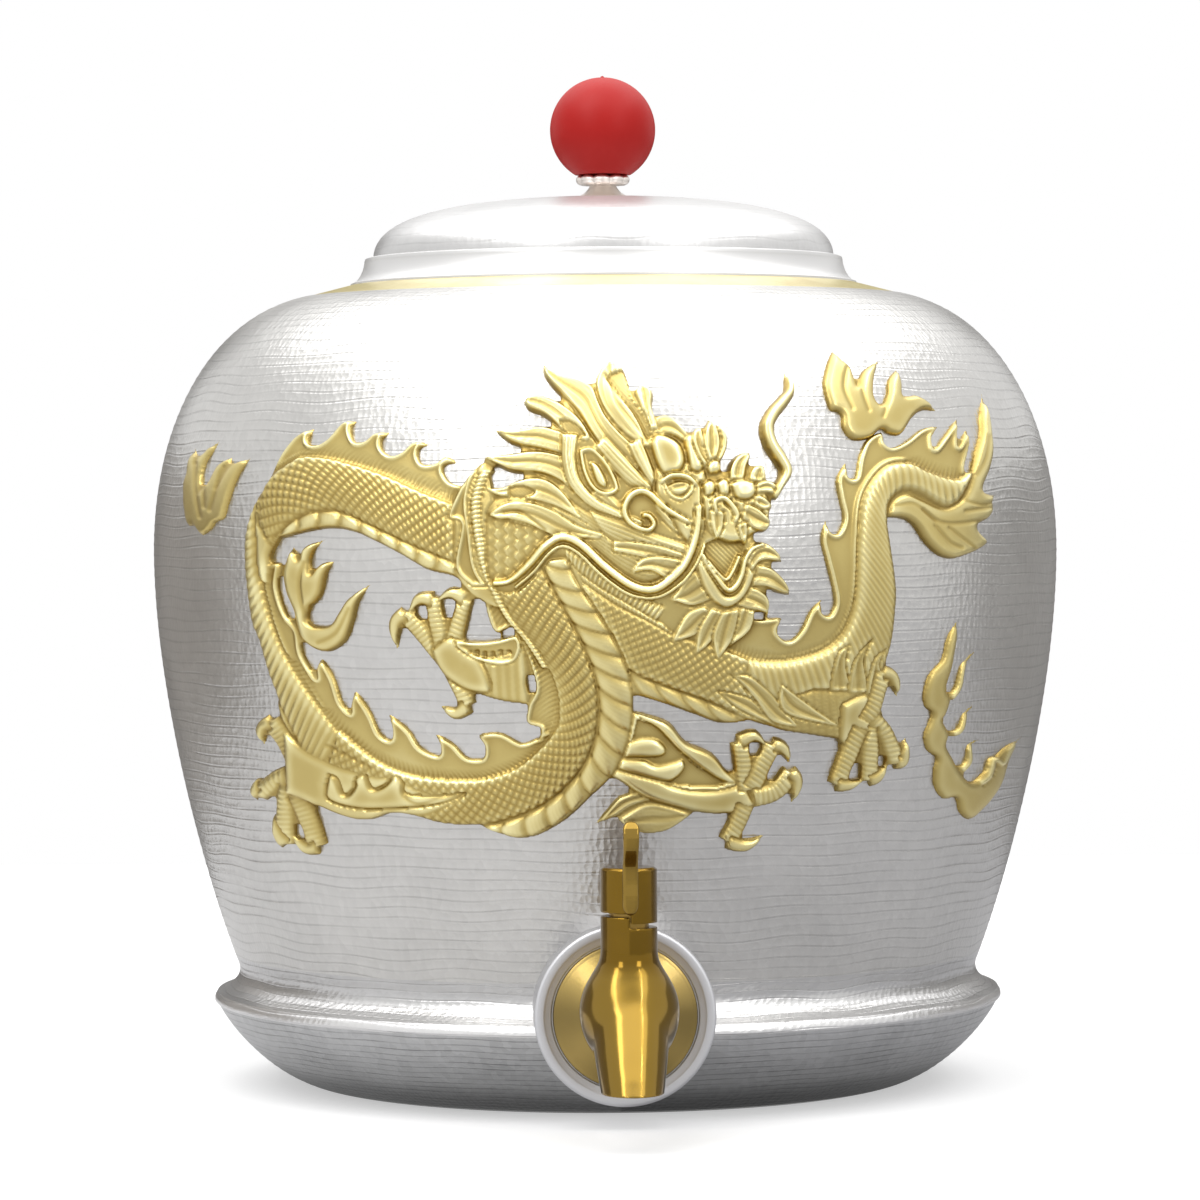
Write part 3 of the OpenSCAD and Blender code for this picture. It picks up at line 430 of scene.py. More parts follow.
def gilt(name, worn=None, rubbed_to=0.42):
    """Pale gilding. Rubbed edges are bright, partly with a painted highlight on what stands high and painted
    shade in what lies low, and the chased lines hold a dark olive patina.
    """
    material, wire, shader = finish_of(name, {"Metallic": 1.0})
    place = wire.node("TexCoord", out=3)
    cloud, grain = noise(wire, place, 45, 4, 0.6), noise(wire, place, 1400, 2)
    wear_and_light = wire.node("Attribute", {"attribute_name": worn}, out=2) if worn else cloud * 0.3 + rubbed_to
    wear_and_light = (wear_and_light + (cloud - 0.5) * 0.25).clamp()
    feed(wire, shader,
         Base_Color=wire.node("ValToRGB", {"stops": GILT_TONES}, {0: wear_and_light}),
         Roughness=0.36 - 0.10 * wear_and_light + 0.06 * grain,
         Normal=bumps(wire, grain, 0.00002))
    return material


def plain_satin(name, low, high, rough, scale, gloss=0.5):
    """A dull coloured stuff, with a fine grain and a little unevenness."""
    material, wire, shader = finish_of(name, {"Specular IOR Level": gloss})
    place = wire.node("TexCoord", out=3)
    cloud, grain = noise(wire, place, scale, 4, 0.6), noise(wire, place, 1800, 2)
    feed(wire, shader, Base_Color=cloud.blend(low, high), Roughness=rough + 0.12 * grain,
         Normal=bumps(wire, grain, 0.00003, 0.7))
    return material


tap_gold = polished_gold("tap_gold", (0.275, 0.172, 0.030), 0.10, dark_reflection_above=0.042)
lever_gold = polished_gold("lever_gold", (0.29, 0.185, 0.036), 0.14)
dark_gold = polished_gold("dark_gold", (0.30, 0.19, 0.045), 0.22)
flange_gold = polished_gold("flange_gold", (0.30, 0.215, 0.07), 0.14, turned_about=0.0294, groove=0.006)
relief_gilt = gilt("relief_gilt", "worn")
ring_gilt = gilt("ring_gilt", rubbed_to=0.62)
ball_red = plain_satin("ball_red", colour(0.36, 0.007, 0.006), colour(0.46, 0.014, 0.011), 0.40, 40, 0.22)
black_rubber = plain_satin("black_rubber", colour(0.012, 0.012, 0.012), colour(0.03, 0.03, 0.03), 0.6, 120)
print("gold, gilt, red and rubber ready")

# %% [markdown]
# ## Silver pieces
# A raised vessel is a turned form, so a profile swept round the axis makes it. The profile is closed,
# with the sheet's inside, because the lid comes off and shows it. A profile is a list of [radius, height]
# in mm, with its round stretches as curves.

# %% Profiles
def bow(a, b, c, d, count):
    """Points of a cubic curve from a towards d, without d."""
    a, b, c, d = (np.array(p, float) for p in (a, b, c, d))
    t = (np.arange(count) / count)[:, None]
    return (1 - t)**3 * a + 3 * (1 - t)**2 * t * b + 3 * (1 - t) * t * t * c + t**3 * d


def run_of(points):
    """How far along a line each of its points lies."""
    return np.concatenate([[0], np.cumsum(np.hypot(*np.diff(points, axis=0).T))])


def even(points, pitch):
    """The same line with its points at an even pitch."""
    points = np.array(points, float)
    run = run_of(points)
    at = np.linspace(0, run[-1], max(int(run[-1] / pitch), 1) + 1)
    return np.column_stack([np.interp(at, run, points[:, k]) for k in (0, 1)])


def normals_of(profile):
    """Which way each point of a profile faces."""
    d = np.gradient(profile, axis=0)
    return np.column_stack([-d[:, 1], d[:, 0]]) / (np.hypot(*d.T)[:, None] + 1e-9)


def skin(name, points, faces, finish, body, stands_for, crisp=35):
    """A mesh from points in mm and faces, dressed, on its body, in place of its CAD nodes."""
    mesh = bpy.data.meshes.new(name)
    mesh.from_pydata((np.asarray(points) * MM).tolist(), [], faces)
    mesh.shade_smooth()
    mesh.set_sharp_from_angle(angle=math.radians(crisp))
    mesh.materials.append(finish)
    piece = bpy.data.objects.new(name, mesh)
    bpy.context.scene.collection.objects.link(piece)
    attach(piece, body)
    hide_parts(*stands_for)
    print(name, len(mesh.vertices), "points")
    return piece


def carry(piece, name, values):
    """Give each point of a piece a number that its material can read."""
    mark = piece.data.attributes.new(name, "FLOAT", "POINT")
    mark.data.foreach_set("value", values.ravel().astype(np.float32))


def turned(name, profile, sides, finish, body, stands_for, dent=None, row=None):
    """A profile turned about the urn's axis, with its dents and its hammer rows where it has them."""
    angle = np.arange(sides) * TAU / sides
    profile = np.array(profile, float)
    run = run_of(profile)
    off = np.zeros((len(profile), sides))
    if dent:
        off = dent(run[:, None], profile[:, 1:2], angle[None, :]) * (profile[:, 0:1] > 0.01)
    side = normals_of(profile)
    r, z = profile[:, 0:1] + off * side[:, 0:1], profile[:, 1:2] + off * side[:, 1:2]
    points = np.dstack([r * np.sin(angle), -r * np.cos(angle), z + 0 * angle]).reshape(-1, 3)
    rows = len(profile)
    i, j = (g.ravel() for g in np.meshgrid(np.arange(rows), np.arange(sides), indexing="ij"))
    k, n = (i + 1) % rows, (j + 1) % sides
    faces = np.column_stack([i * sides + j, k * sides + j, k * sides + n, i * sides + n])
    piece = skin(name, points, faces.tolist(), finish, body, stands_for)
    if row:
        carry(piece, "row", row(run[:, None], angle[None, :]) + 0 * off)


print("turning helpers ready")

# %% [markdown]
# The hammer goes round the urn row by row. No row is quite level and no blow quite as deep as the next,
# which is what the eye takes for handwork. A displacement modifier would need a texture. Adding the depth
# while the points are made is simpler and exact.

# %% Hammer blows
def wander(angle, along, seed, waves=7):
    """A smooth unevenness from about -1 to 1 that closes round the axis."""
    pick = np.random.default_rng(seed)
    total = 0
    for _ in range(waves):
        lobes, drift, start = pick.integers(2, 26), pick.uniform(-0.25, 0.25), pick.uniform(0, TAU)
        total = total + np.sin(lobes * angle + drift * along + start)
    return total / math.sqrt(waves) / 1.5


def hammer_rows(pitch, seed):
    """Which row of blows a place lies in."""
    return lambda along, angle: along / pitch + 0.22 * wander(angle, along, seed)


def blows(row, depth, seed, first, last, fade=4):
    """Shallow hollows in rows with low crests between them, from one place along the profile to another."""
    def dent(along, up, angle):
        place = row(along, angle)
        hollow = (2 * (place - np.round(place)))**2 - 1
        strength = 0.65 + 0.35 * wander(angle, along, seed + 1)
        ends = np.clip((along - first) / fade, 0, 1) * np.clip((last - along) / fade, 0, 1)
        return depth * hollow * strength * ends
    return dent


print("hammer ready")

# %% [markdown]
# The vessel runs from the shoulder over the belly to the waist. The lip ring is soldered under it: a cove
# and a rolled edge that overhangs the pan. The pan's own sheet is flat where it stands. All three are
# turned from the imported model's numbers, with the belly a hair smaller, so that the rows of blows stay
# inside its box.

# %% Vessel, lip and pan
WALL, FINE, COARSE = 1.2, 0.42, 3
BELLY_R, JOINT_H = 124.95, 36
MOUTH, BELLY, WAIST, LIP = (84, 217), (BELLY_R, 147), (102.5, 34), (108.2, 25.8)
INNER_LOW, INNER_HIGH = 24.2, 213.5
PAN_EDGE, PAN_FOOT = (108.2, 22.95), (78, 0)


def inside_of(profile, every):
    """The sheet's inner face: the profile one wall further in, with fewer points."""
    return even(profile[::every] - WALL * normals_of(profile[::every]), COARSE)


outside = even(np.vstack([
    bow(MOUTH, (110, 211.2), (BELLY_R, 181.5), BELLY, 90),
    bow(BELLY, (BELLY_R, 106.7), (110.6, 54.3), WAIST, 90),
    bow(WAIST, (101.3, 31), (102.5, 27.6), LIP, 24), [LIP]]), FINE)
within = inside_of(outside, 8)
within = within[(within[:, 1] > INNER_LOW) & (within[:, 1] < INNER_HIGH)][::-1]
rolled = [(108.55, 25.2), (108.85, 24.7), (109, 24.1), (109, 23.5), (108.6, 23.0), (105, 23.0)]
shelf = [(79, 214.0), (79, 215.1), (83.9, 215.1)]
upper, lower = outside[outside[:, 1] >= JOINT_H], outside[outside[:, 1] <= JOINT_H + 0.3]
body_rows, lip_rows, pan_rows = hammer_rows(2.8, 5), hammer_rows(2.2, 31), hammer_rows(2.1, 11)
body_loop = np.vstack([upper, within[within[:, 1] > JOINT_H], shelf])
lip_loop = np.vstack([lower, rolled, within[within[:, 1] <= JOINT_H]])
turned("vessel", body_loop, 400, body_silver, "vessel", ["body_shell"],
       blows(body_rows, 0.11, 6, 3, FINE * len(upper)), body_rows)
turned("lip", lip_loop, 400, cove_silver, "vessel", ["lip_ring"],
       blows(lip_rows, 0.05, 32, 1, FINE * len(lower) - 6), lip_rows)
pan_line = even(np.vstack([bow(PAN_EDGE, (104.2, 14.2), (90, 0), PAN_FOOT, 60), [PAN_FOOT]]), FINE)
pan_in = inside_of(pan_line, 6)
pan_in = pan_in[(pan_in[:, 1] > WALL + 0.1) & (pan_in[:, 1] < 21)][::-1]
pan_loop = np.vstack([pan_line, [(40, 0), (0.001, 0), (0.001, WALL), (60, WALL)], pan_in, [(105.2, 22.95)]])
turned("pan", pan_loop, 360, pan_silver, "vessel", ["base_pan"],
       blows(pan_rows, 0.09, 12, 1, FINE * len(pan_line) - 6), pan_rows)

# %% [markdown]
# The mouth ring is a plain sloped gilt ring, and the lid sits on its flat seat: a smooth flared rim, a
# thin bead, and the hammered dome. The lid is a stack of turned sheets too, so it stays hollow.

# %% Mouth ring and lid
SEAT_H, BEAD_H, DOME_TOP, DOME_R = 220.3, 227.9, 244.5, 63.8
ring_loop = even([
    (64, SEAT_H), (70.4, SEAT_H), (83.2, 217.0), (83.6, 216.7), (83.6, 215.1), (65.2, 215.1), (65.2, 205.3),
    (64, 205.3), (64, SEAT_H)], 0.8)[:-1]
turned("gilt_mouth", ring_loop, 240, ring_gilt, "vessel", ["mouth_ring"])
rim_loop = np.vstack([
    [(65.4, BEAD_H), (66.1, 227.6), (66.3, 226.9)],
    bow((66.3, 226.8), (66.3, 225.5), (67.6, 221.3), (70.1, 220.8), 16),
    [(70.1, 220.8), (70.1, SEAT_H), (63.6, SEAT_H), (63.6, 209.9), (63.3, 209.3), (62.4, 209.3),
     (62.4, 226.7), (60.4, 226.7), (60.4, BEAD_H)]])
turned("lid_flare", rim_loop, 240, rim_silver, "lid", ["lid_rim"])
dome_curve = bow((0.02, DOME_TOP), (47.98, DOME_TOP), (DOME_R, 237.86), (DOME_R, BEAD_H), 90)
dome_line = even(np.vstack([dome_curve, [(DOME_R, BEAD_H)]]), FINE)
dome_in = inside_of(dome_line, 8)
dome_in = dome_in[(dome_in[:, 1] > BEAD_H + 0.2) & (dome_in[:, 0] > 1)][::-1]
dome_loop = np.vstack([dome_line, [(DOME_R - WALL, BEAD_H)], dome_in, [(0.02, DOME_TOP - WALL)]])
dome_rows = hammer_rows(3.0, 23)
turned("dome", dome_loop, 300, lid_silver, "lid", ["lid_dome"],
       blows(dome_rows, 0.04, 24, 12, FINE * len(dome_line) - 2), dome_rows)

# %% [markdown]
# The knob is a stack: a small cone, a cup whose rim is pinched into petals, and a satin red ball that
# ends in a tiny point. The petals come from a radius that swells nine times round the axis, which is less
# work than nine separate petals and gives no seams.

# %% Knob
STEM_FOOT, CUP_FOOT, BALL_SEAT, BALL_R, BALL_MID, STUD_R = 244.55, 247.85, 250.95, 14.6, 263.32, 2.6
PETALS, PETAL_START = 9, 0.4
ball_top = BALL_MID + BALL_R
stem_loop = np.vstack([
    [(STUD_R, CUP_FOOT)], bow((3.65, CUP_FOOT), (4.2, 246.6), (5.6, 245.3), (7.45, 244.75), 12),
    [(7.45, STEM_FOOT), (STUD_R, STEM_FOOT)]])
turned("knob_cone", stem_loop, 96, ball_tinted_silver, "lid", ["knob_stem"])
bend = np.linspace(math.radians(115), math.radians(-75), 14)
cup_rim = np.column_stack([6.0 + 1.45 * np.cos(bend), BALL_SEAT - 1.5 + 1.42 * np.sin(bend)])
cup_loop = np.vstack([[(STUD_R, BALL_SEAT)], cup_rim, [(3.65, CUP_FOOT), (STUD_R, CUP_FOOT)]])


def petals(along, up, angle):
    """The swell of the petals, which fades out at the cup's foot and under the ball."""
    swell = np.abs(np.cos(PETALS / 2 * angle + PETAL_START))**0.7
    return (0.62 * swell - 0.58) * np.clip((up - CUP_FOOT) / 0.8, 0, 1) * np.clip((along - 1.5) / 1.2, 0, 1)


turned("petal_cup", cup_loop, 216, ball_tinted_silver, "lid", ["knob_collar"], petals)
fall = np.radians(np.linspace(2, 148, 90))
ball_line = np.column_stack([BALL_R * np.sin(fall), BALL_MID + BALL_R * np.cos(fall)])
ball_loop = np.vstack([
    [(0.02, ball_top + 0.45), (0.5, ball_top + 0.2)], ball_line, [(7.6, BALL_SEAT), (STUD_R, BALL_SEAT)]])
turned("red_ball", ball_loop, 128, ball_red, "lid", ["knob_ball"])

# %% [markdown]
# ## The tap
# The boss and the flange are turned on the tap's own line, which points to -Y. The boss is a collar of
# silver whose back follows the vessel, so its first ring of points is dropped on to the vessel's profile.

# %% Boss and flange
TAP_H, SHANK_HOLE_R, SADDLE_SUNK = 29.4, 5.2, 0.6
BOSS_R, BOSS_FACE, BOSS_EDGE = 23.3, 116.0, 0.9
FLANGE_R, FLANGE_BACK, FLANGE_FACE = 18.5, 115.0, 119.0
vessel_r = np.vstack([outside, rolled[:4], pan_line])[::-1]


def vessel_front(x, z, sunk):
    """Where the vessel's front lies at a place, or a little behind it."""
    return -np.sqrt((np.interp(z, vessel_r[:, 1], vessel_r[:, 0]) - sunk)**2 - x**2)


def round_the_tap(profile, sides):
    """Rings of points round the tap's own line, and the faces between them, from [radius, reach]."""
    angle = np.arange(sides) * TAU / sides
    radius, reach = profile[:, 0:1], profile[:, 1:2]
    rings = np.dstack([radius * np.cos(angle), -reach + 0 * angle, TAP_H + radius * np.sin(angle)])
    i, j = (g.ravel() for g in np.meshgrid(np.arange(len(profile) - 1), np.arange(sides), indexing="ij"))
    n = (j + 1) % sides
    return rings, np.column_stack([i * sides + j, i * sides + n, (i + 1) * sides + n, (i + 1) * sides + j])


def tap_turned(name, profile, sides, finish, stands_for, saddle=False):
    """A piece turned about the tap's line. A saddle's first ring lies on the vessel."""
    rings, faces = round_the_tap(profile, sides)
    if saddle:
        rings[0, :, 1] = vessel_front(rings[0, :, 0], rings[0, :, 2], SADDLE_SUNK)
    skin(name, rings.reshape(-1, 3), faces.tolist(), finish, "vessel", stands_for)


edge_turn = np.radians(np.linspace(0, 90, 8))
boss_edge = np.column_stack([22.4 + BOSS_EDGE * np.cos(edge_turn), 115.1 + BOSS_EDGE * np.sin(edge_turn)])
boss_line = np.vstack([[(BOSS_R, 103)], boss_edge, [
    (21.0, BOSS_FACE), (20.7, 115.9), (20.4, 115.7), (19.3, 115.65), (19.0, 115.5), (18.8, 115.1),
    (18.3, FLANGE_BACK), (9.2, FLANGE_BACK), (9.2, 113.8), (SHANK_HOLE_R, 113.8)]])
tap_turned("boss", boss_line, 192, boss_silver, ["tap_boss"], saddle=True)
flange_line = np.vstack([
    [(9, FLANGE_BACK), (18.4, FLANGE_BACK), (FLANGE_R, 115.1), (FLANGE_R, 115.9), (18.3, 116.3),
     (17.8, 116.5)],
    even([(17.6, 116.5), (12.0, 118.6)], 0.4),
    [(11.6, 118.95), (11.2, FLANGE_FACE), (SHANK_HOLE_R, FLANGE_FACE)]])
tap_turned("flange", flange_line, 192, flange_gold, ["tap_flange"])

# %% [markdown]
# The tap is one casting in which bulb, barrel, neck and spout flow together. Turned pieces pushed into
# each other would leave hard creases there. Instead the casting is described by distances: a point's
# distance from the bulb, from the barrel and so on, and a soft minimum of them makes the fillets. The
# skin lies where that distance is zero, found cell by cell on a fine grid.

# %% Casting helper
def soft_join(one, other, fillet):
    """The lesser of two depths, with a fillet where they meet."""
    h = np.clip(0.5 + 0.5 * (other - one) / fillet, 0, 1)
    return other * (1 - h) + one * h - fillet * h * (1 - h)


def both_of(*parts):
    """What lies inside all the parts."""
    return np.maximum.reduce(parts)


def skin_of(low, high, pitch, depth):
    """Points and faces where depth(x, y, z), in mm and negative inside the metal, crosses zero."""
    low = np.array(low, float)
    grid = np.meshgrid(*(np.arange(a, b + pitch, pitch) for a, b in zip(low, high)), indexing="ij")
    field = depth(*grid)
    shape = np.array(field.shape) - 1
    total, count, edges = np.zeros((*shape, 3)), np.zeros(shape), []
    for axis in range(3):
        ahead = np.roll(field, -1, axis)
        crossed = (field < 0) != (ahead < 0)
        crossed[(slice(None),) * axis + (-1,)] = False
        share = np.where(crossed, field / np.where(crossed, field - ahead, 1), 0)
        edges.append(crossed)
        u, v = (axis + 1) % 3, (axis + 2) % 3
        for du in (0, 1):
            for dv in (0, 1):
                cut = [slice(0, n) for n in shape]
                cut[u], cut[v] = slice(du, du + shape[u]), slice(dv, dv + shape[v])
                here = crossed[tuple(cut)]
                count += here
                total[..., axis] += share[tuple(cut)]
                total[..., u] += here * du
                total[..., v] += here * dv
    used = count > 0
    index = np.full(shape, -1)
    index[used] = np.arange(used.sum())
    points = low + pitch * (np.argwhere(used) + total[used] / count[used][:, None])
    faces = []
    for axis, crossed in enumerate(edges):
        u, v = np.eye(3, dtype=int)[(axis + 1) % 3], np.eye(3, dtype=int)[(axis + 2) % 3]
        at = np.argwhere(crossed)
        at = at[((at - u - v) >= 0).all(1) & (at < shape).all(1)]
        ring = np.column_stack([index[tuple((at - step).T)] for step in (u + v, v, 0 * u, u)])
        outward = field[tuple(at.T)] < 0
        faces.append(np.where(outward[:, None], ring, ring[:, ::-1]))
    return points, np.vstack(faces)


print("casting helper ready")

# %% [markdown]
# The barrel's rim is cut in a step, and the cap's skirt in the opposite step: together they stop the
# lever at each end of its quarter turn. The spout leans forward and is cut level, so its mouth is hidden
# from the front. The shank behind the flange is threaded for the nut inside the vessel, and joins the
# casting's mesh as a turned tube.

# %% Tap casting
BARREL_Y, BARREL_R, BARREL_TOP, STEP_TOP, STEP_FOOT = -140.0, 7.1, 54.4, 57.2, 50
BULB_MID, BULB_HALF_W, BULB_HALF_D, BULB_RISE, BULB_DROP, BULB_R = 33, 12.4, 10.2, 12.0, 14.3, 10.8
NECK_R, NECK_FLARE, FLARE_FROM, FLARE_RUN, NECK_FRONT, NECK_BACK = 9.5, 1.0, -123, 2, -136, -119
SPOUT_ROOT, SPOUT_TIP, TIP_H = np.array([0, -140.0, 35.5]), np.array([0, -157.0, 14.5]), 14.5
SPOUT_R, SPOUT_TAPER, TAPER_RUN, SPOUT_BORE_R, SPOUT_BORE_FROM = 10.2, 2.5, 27, 5.5, 9
PLUG_BORE_R, PLUG_FLOOR, UNCUT = 5.07, 23.4, -9
BARREL_FILLET, NECK_FILLET, SPOUT_FILLET = 5, 2.5, 3.5
SHANK_R, SHANK_BORE_R, SHANK_RUN, SHANK_SIDES = 4.99, 2.8, 33.5, 64
THREAD_DEPTH, THREAD_PITCH, THREAD_RUN = 0.35, 1.25, 24
CAST_PITCH, CAST_CRISP = 0.3, 50
TAP_LOW, TAP_HIGH = (-13.5, -170, 13.5), (13.5, -118.6, 58.2)


def spout_depth(x, y, z):
    """Depth in the spout's tapering cone, distance from its line, and the way along it."""
    lean = (SPOUT_TIP - SPOUT_ROOT) / np.linalg.norm(SPOUT_TIP - SPOUT_ROOT)
    along = (y - SPOUT_ROOT[1]) * lean[1] + (z - SPOUT_ROOT[2]) * lean[2]
    from_root = np.sqrt(x**2 + (y - SPOUT_ROOT[1])**2 + (z - SPOUT_ROOT[2])**2)
    from_line = np.sqrt(np.maximum(from_root**2 - along**2, 0))
    taper = SPOUT_TAPER * np.clip(along / TAPER_RUN, 0, 1.2)**1.5
    return np.where(along < 0, from_root - SPOUT_R, from_line - (SPOUT_R - taper)), from_line, along


def tap_depth(x, y, z):
    back, round_axis = y - BARREL_Y, np.hypot(x, y - BARREL_Y)
    bulb_h = np.where(z < BULB_MID, BULB_DROP, BULB_RISE)
    bulb = np.sqrt((x / BULB_HALF_W)**2 + (back / BULB_HALF_D)**2 + ((z - BULB_MID) / bulb_h)**2)
    barrel = both_of(round_axis - BARREL_R, z - BARREL_TOP, BULB_MID - z)
    step = both_of(round_axis - BARREL_R, z - STEP_TOP, STEP_FOOT - z, x, (x + back) * math.sqrt(0.5))
    metal = np.minimum(soft_join((bulb - 1) * BULB_R, barrel, BARREL_FILLET), step)
    neck_r = NECK_R + NECK_FLARE * np.clip((y - FLARE_FROM) / FLARE_RUN, 0, 1)
    neck = both_of(np.hypot(x, z - TAP_H) - neck_r, y - NECK_BACK, NECK_FRONT - y)
    spout, from_line, along = spout_depth(x, y, z)
    metal = soft_join(metal, neck, NECK_FILLET)
    metal = soft_join(metal, both_of(spout, TIP_H - z), SPOUT_FILLET)
    spout_bore = np.where(along > SPOUT_BORE_FROM, SPOUT_BORE_R - from_line, UNCUT)
    plug_bore = np.where(z > PLUG_FLOOR, PLUG_BORE_R - round_axis, UNCUT)
    return both_of(metal, TIP_H - z, spout_bore, plug_bore)


points, faces = skin_of(TAP_LOW, TAP_HIGH, CAST_PITCH, tap_depth)
back = np.arange(0, SHANK_RUN, 0.25)[::-1]
groove = THREAD_DEPTH * np.abs((back / THREAD_PITCH) % 1 * 2 - 1) * (back < THREAD_RUN)
thread = np.column_stack([SHANK_R - groove, FLANGE_FACE - back])
shank, shank_faces = round_the_tap(np.vstack([[(SHANK_BORE_R, thread[0, 1])], thread]), SHANK_SIDES)
faces = np.vstack([faces, shank_faces + len(points)])
points = np.vstack([points, shank.reshape(-1, 3)])
skin("tap", points, faces.tolist(), tap_gold, "vessel", ["tap_body"], crisp=CAST_CRISP)

# %% [markdown]
# The cap is a drum with the skirt that meets the barrel's step. The lever is a bent blade with a swelling
# tip, let into the cap's front with a tenon. Both are made by distances as well, because the tenon's
# pocket and the lever's rounded edges are a single expression that way.

# %% Cap and lever
CAP_LOW, CAP_TOP, CAP_BEVEL, CAP_HOLLOW_R, CAP_HOLLOW_TOP = 58.2, 69.4, 0.6, 5.1, 58.1
SKIRT_LOW, SKIRT_LAP, SKIRT_FROM, SKIRT_TO = 55.6, 1, math.radians(-87.6), math.radians(42.6)
TENON_HALF_W, TENON_HALF_H, TENON_MID, TENON_FIT = 1.25, 2.9, 63.2, 0.15
TENON_FRONT, TENON_BACK = -148.7, -144.9
LEVER_HALF_W, LEVER_HALF_D, LEVER_ROUND = 1.95, 1.3, 0.6
LEVER_FOOT, LEVER_BEND, LEVER_TIP = (148.7, 59.2), (149.3, 69.4), (154.4, 80.4)
SWELL_FROM, SWELL_RUN, TIP_FROM, TIP_RUN, FOOT_FROM, FOOT_RUN = 74, 6, 79.6, 2.2, 60.6, 2.6
HANDLE_PITCH = 0.2


def tenon_depth(x, y, z, fit=0.0):
    """The lever's tenon, or with a fit the pocket for it in the cap."""
    wide, high = np.abs(x) - TENON_HALF_W, np.abs(z - TENON_MID) - TENON_HALF_H
    return both_of(wide, high, TENON_FRONT - y, y - TENON_BACK) - fit


def cap_depth(x, y, z):
    back, round_axis = y - BARREL_Y, np.hypot(x, y - BARREL_Y)
    bevel = (round_axis - BARREL_R + z - CAP_TOP + CAP_BEVEL) * math.sqrt(0.5)
    drum = both_of(round_axis - BARREL_R, z - CAP_TOP, CAP_LOW - z, bevel)
    skirt = both_of(round_axis - BARREL_R, z - CAP_LOW - SKIRT_LAP, SKIRT_LOW - z, CAP_HOLLOW_R - round_axis,
                    math.sin(SKIRT_FROM) * x - math.cos(SKIRT_FROM) * back,
                    math.cos(SKIRT_TO) * back - math.sin(SKIRT_TO) * x)
    hollow = np.where(z < CAP_HOLLOW_TOP, CAP_HOLLOW_R - round_axis, UNCUT)
    return both_of(np.minimum(drum, skirt), hollow, -tenon_depth(x, y, z, TENON_FIT))


points, faces = skin_of((-7.6, -147.6, 55), (7.6, -132.4, 70), HANDLE_PITCH, cap_depth)
skin("stepped_cap", points, faces.tolist(), tap_gold, "tap_handle", ["tap_cap"], crisp=CAST_CRISP)
spine = np.vstack([bow(LEVER_FOOT, (149.7, 62.2), (148.4, 66.4), LEVER_BEND, 8),
                   bow(LEVER_BEND, (150.5, 73.4), (158.2, 75.4), LEVER_TIP, 14), [LEVER_TIP]])


def nearest(x, y, starts, ends):
    """Squared distance of each place from a chain of straight pieces."""
    best = np.full(x.shape, 1e9)
    for (ax, ay), (bx, by) in zip(starts, ends):
        dx, dy = bx - ax, by - ay
        t = np.clip(((x - ax) * dx + (y - ay) * dy) / (dx * dx + dy * dy + 1e-9), 0, 1)
        best = np.minimum(best, (x - ax - t * dx)**2 + (y - ay - t * dy)**2)
    return best


def lever_depth(x, y, z):
    """A blade along the spine, seen from the side, that is rounded on its edges and narrows at both ends."""
    swell = 0.1 * np.clip((z - SWELL_FROM) / SWELL_RUN, 0, 1)
    tip = 1.1 * np.clip((z - TIP_FROM) / TIP_RUN, 0, 1)**2
    foot = 1.2 * np.clip((FOOT_FROM - z) / FOOT_RUN, 0, 1)**2
    off_side = np.abs(x) - (LEVER_HALF_W + swell - tip - foot) + LEVER_ROUND
    off_spine = np.sqrt(nearest(-y, z, spine, spine[1:])) - LEVER_HALF_D + LEVER_ROUND
    corner = np.hypot(np.maximum(off_spine, 0), np.maximum(off_side, 0))
    blade = corner + np.minimum(np.maximum(off_spine, off_side), 0) - LEVER_ROUND
    return np.minimum(blade, tenon_depth(x, y, z))


points, faces = skin_of((-2.6, -158, 57), (2.6, -144.4, 82.4), HANDLE_PITCH, lever_depth)
skin("lever", points, faces.tolist(), lever_gold, "tap_handle", ["tap_lever"])

# %% [markdown]
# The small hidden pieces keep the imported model's own shape, because they are plain turned or cut parts.
# They get the finish of what they are made of. Most of them show only when the lid is off, or not at all.

# %% Finishes of the carried-over pieces
for finish, names in ((black_rubber, ("front_washer", "inner_washer", "core_o_rings", "port_seal")),
                      (dark_gold, ("knob_stud", "back_nut", "valve_core", "cap_setscrew")),
                      (smooth_silver, ("knob_washer", "knob_nut", "retaining_clip"))):
    for name in names:
        for place in nodes[name].material_slots:
            place.material = finish
print("carried-over pieces dressed")

# %% [markdown]
# ## The dragon
# The relief is a thin sheet, raised from behind and chased from the front, then gilt and fixed to the
# belly. It is built the way the chaser works: on a flat sheet, from the pieces that lie lowest to those
# on top. The sheet is a grid of heights. A unit on it is a quarter of a millimetre, so the drawing's
# numbers stay whole.

# %% Drawn lines
STEP, LEFT, TOP, RIGHT, LOW = 1.25, 172, 338, 1036, 862


def line(text):
    """Points from a text of pairs, each a place across and a place down the sheet."""
    return np.array([[float(n) for n in pair.split(",")] for pair in text.split()])


def curved(points, steps=6):
    """A smooth line through the points. A point given twice stays sharp."""
    p = np.vstack([points[:1], points, points[-1:]])
    t = (np.arange(steps) / steps)[:, None]
    parts = [0.5 * (2 * b + (c - a) * t + (2 * a - 5 * b + 4 * c - d) * t**2 + (3 * b - a - 3 * c + d) * t**3)
             for a, b, c, d in zip(p, p[1:], p[2:], p[3:])]
    return np.vstack(parts + [points[-1:]])


def spaced(points, count):
    """The line cut into even steps, and its length."""
    run = run_of(points)
    at = np.linspace(0, run[-1], count)
    return np.column_stack([np.interp(at, run, points[:, k]) for k in (0, 1)]), run[-1]


print("sheet of", RIGHT - LEFT, "by", LOW - TOP, "units")

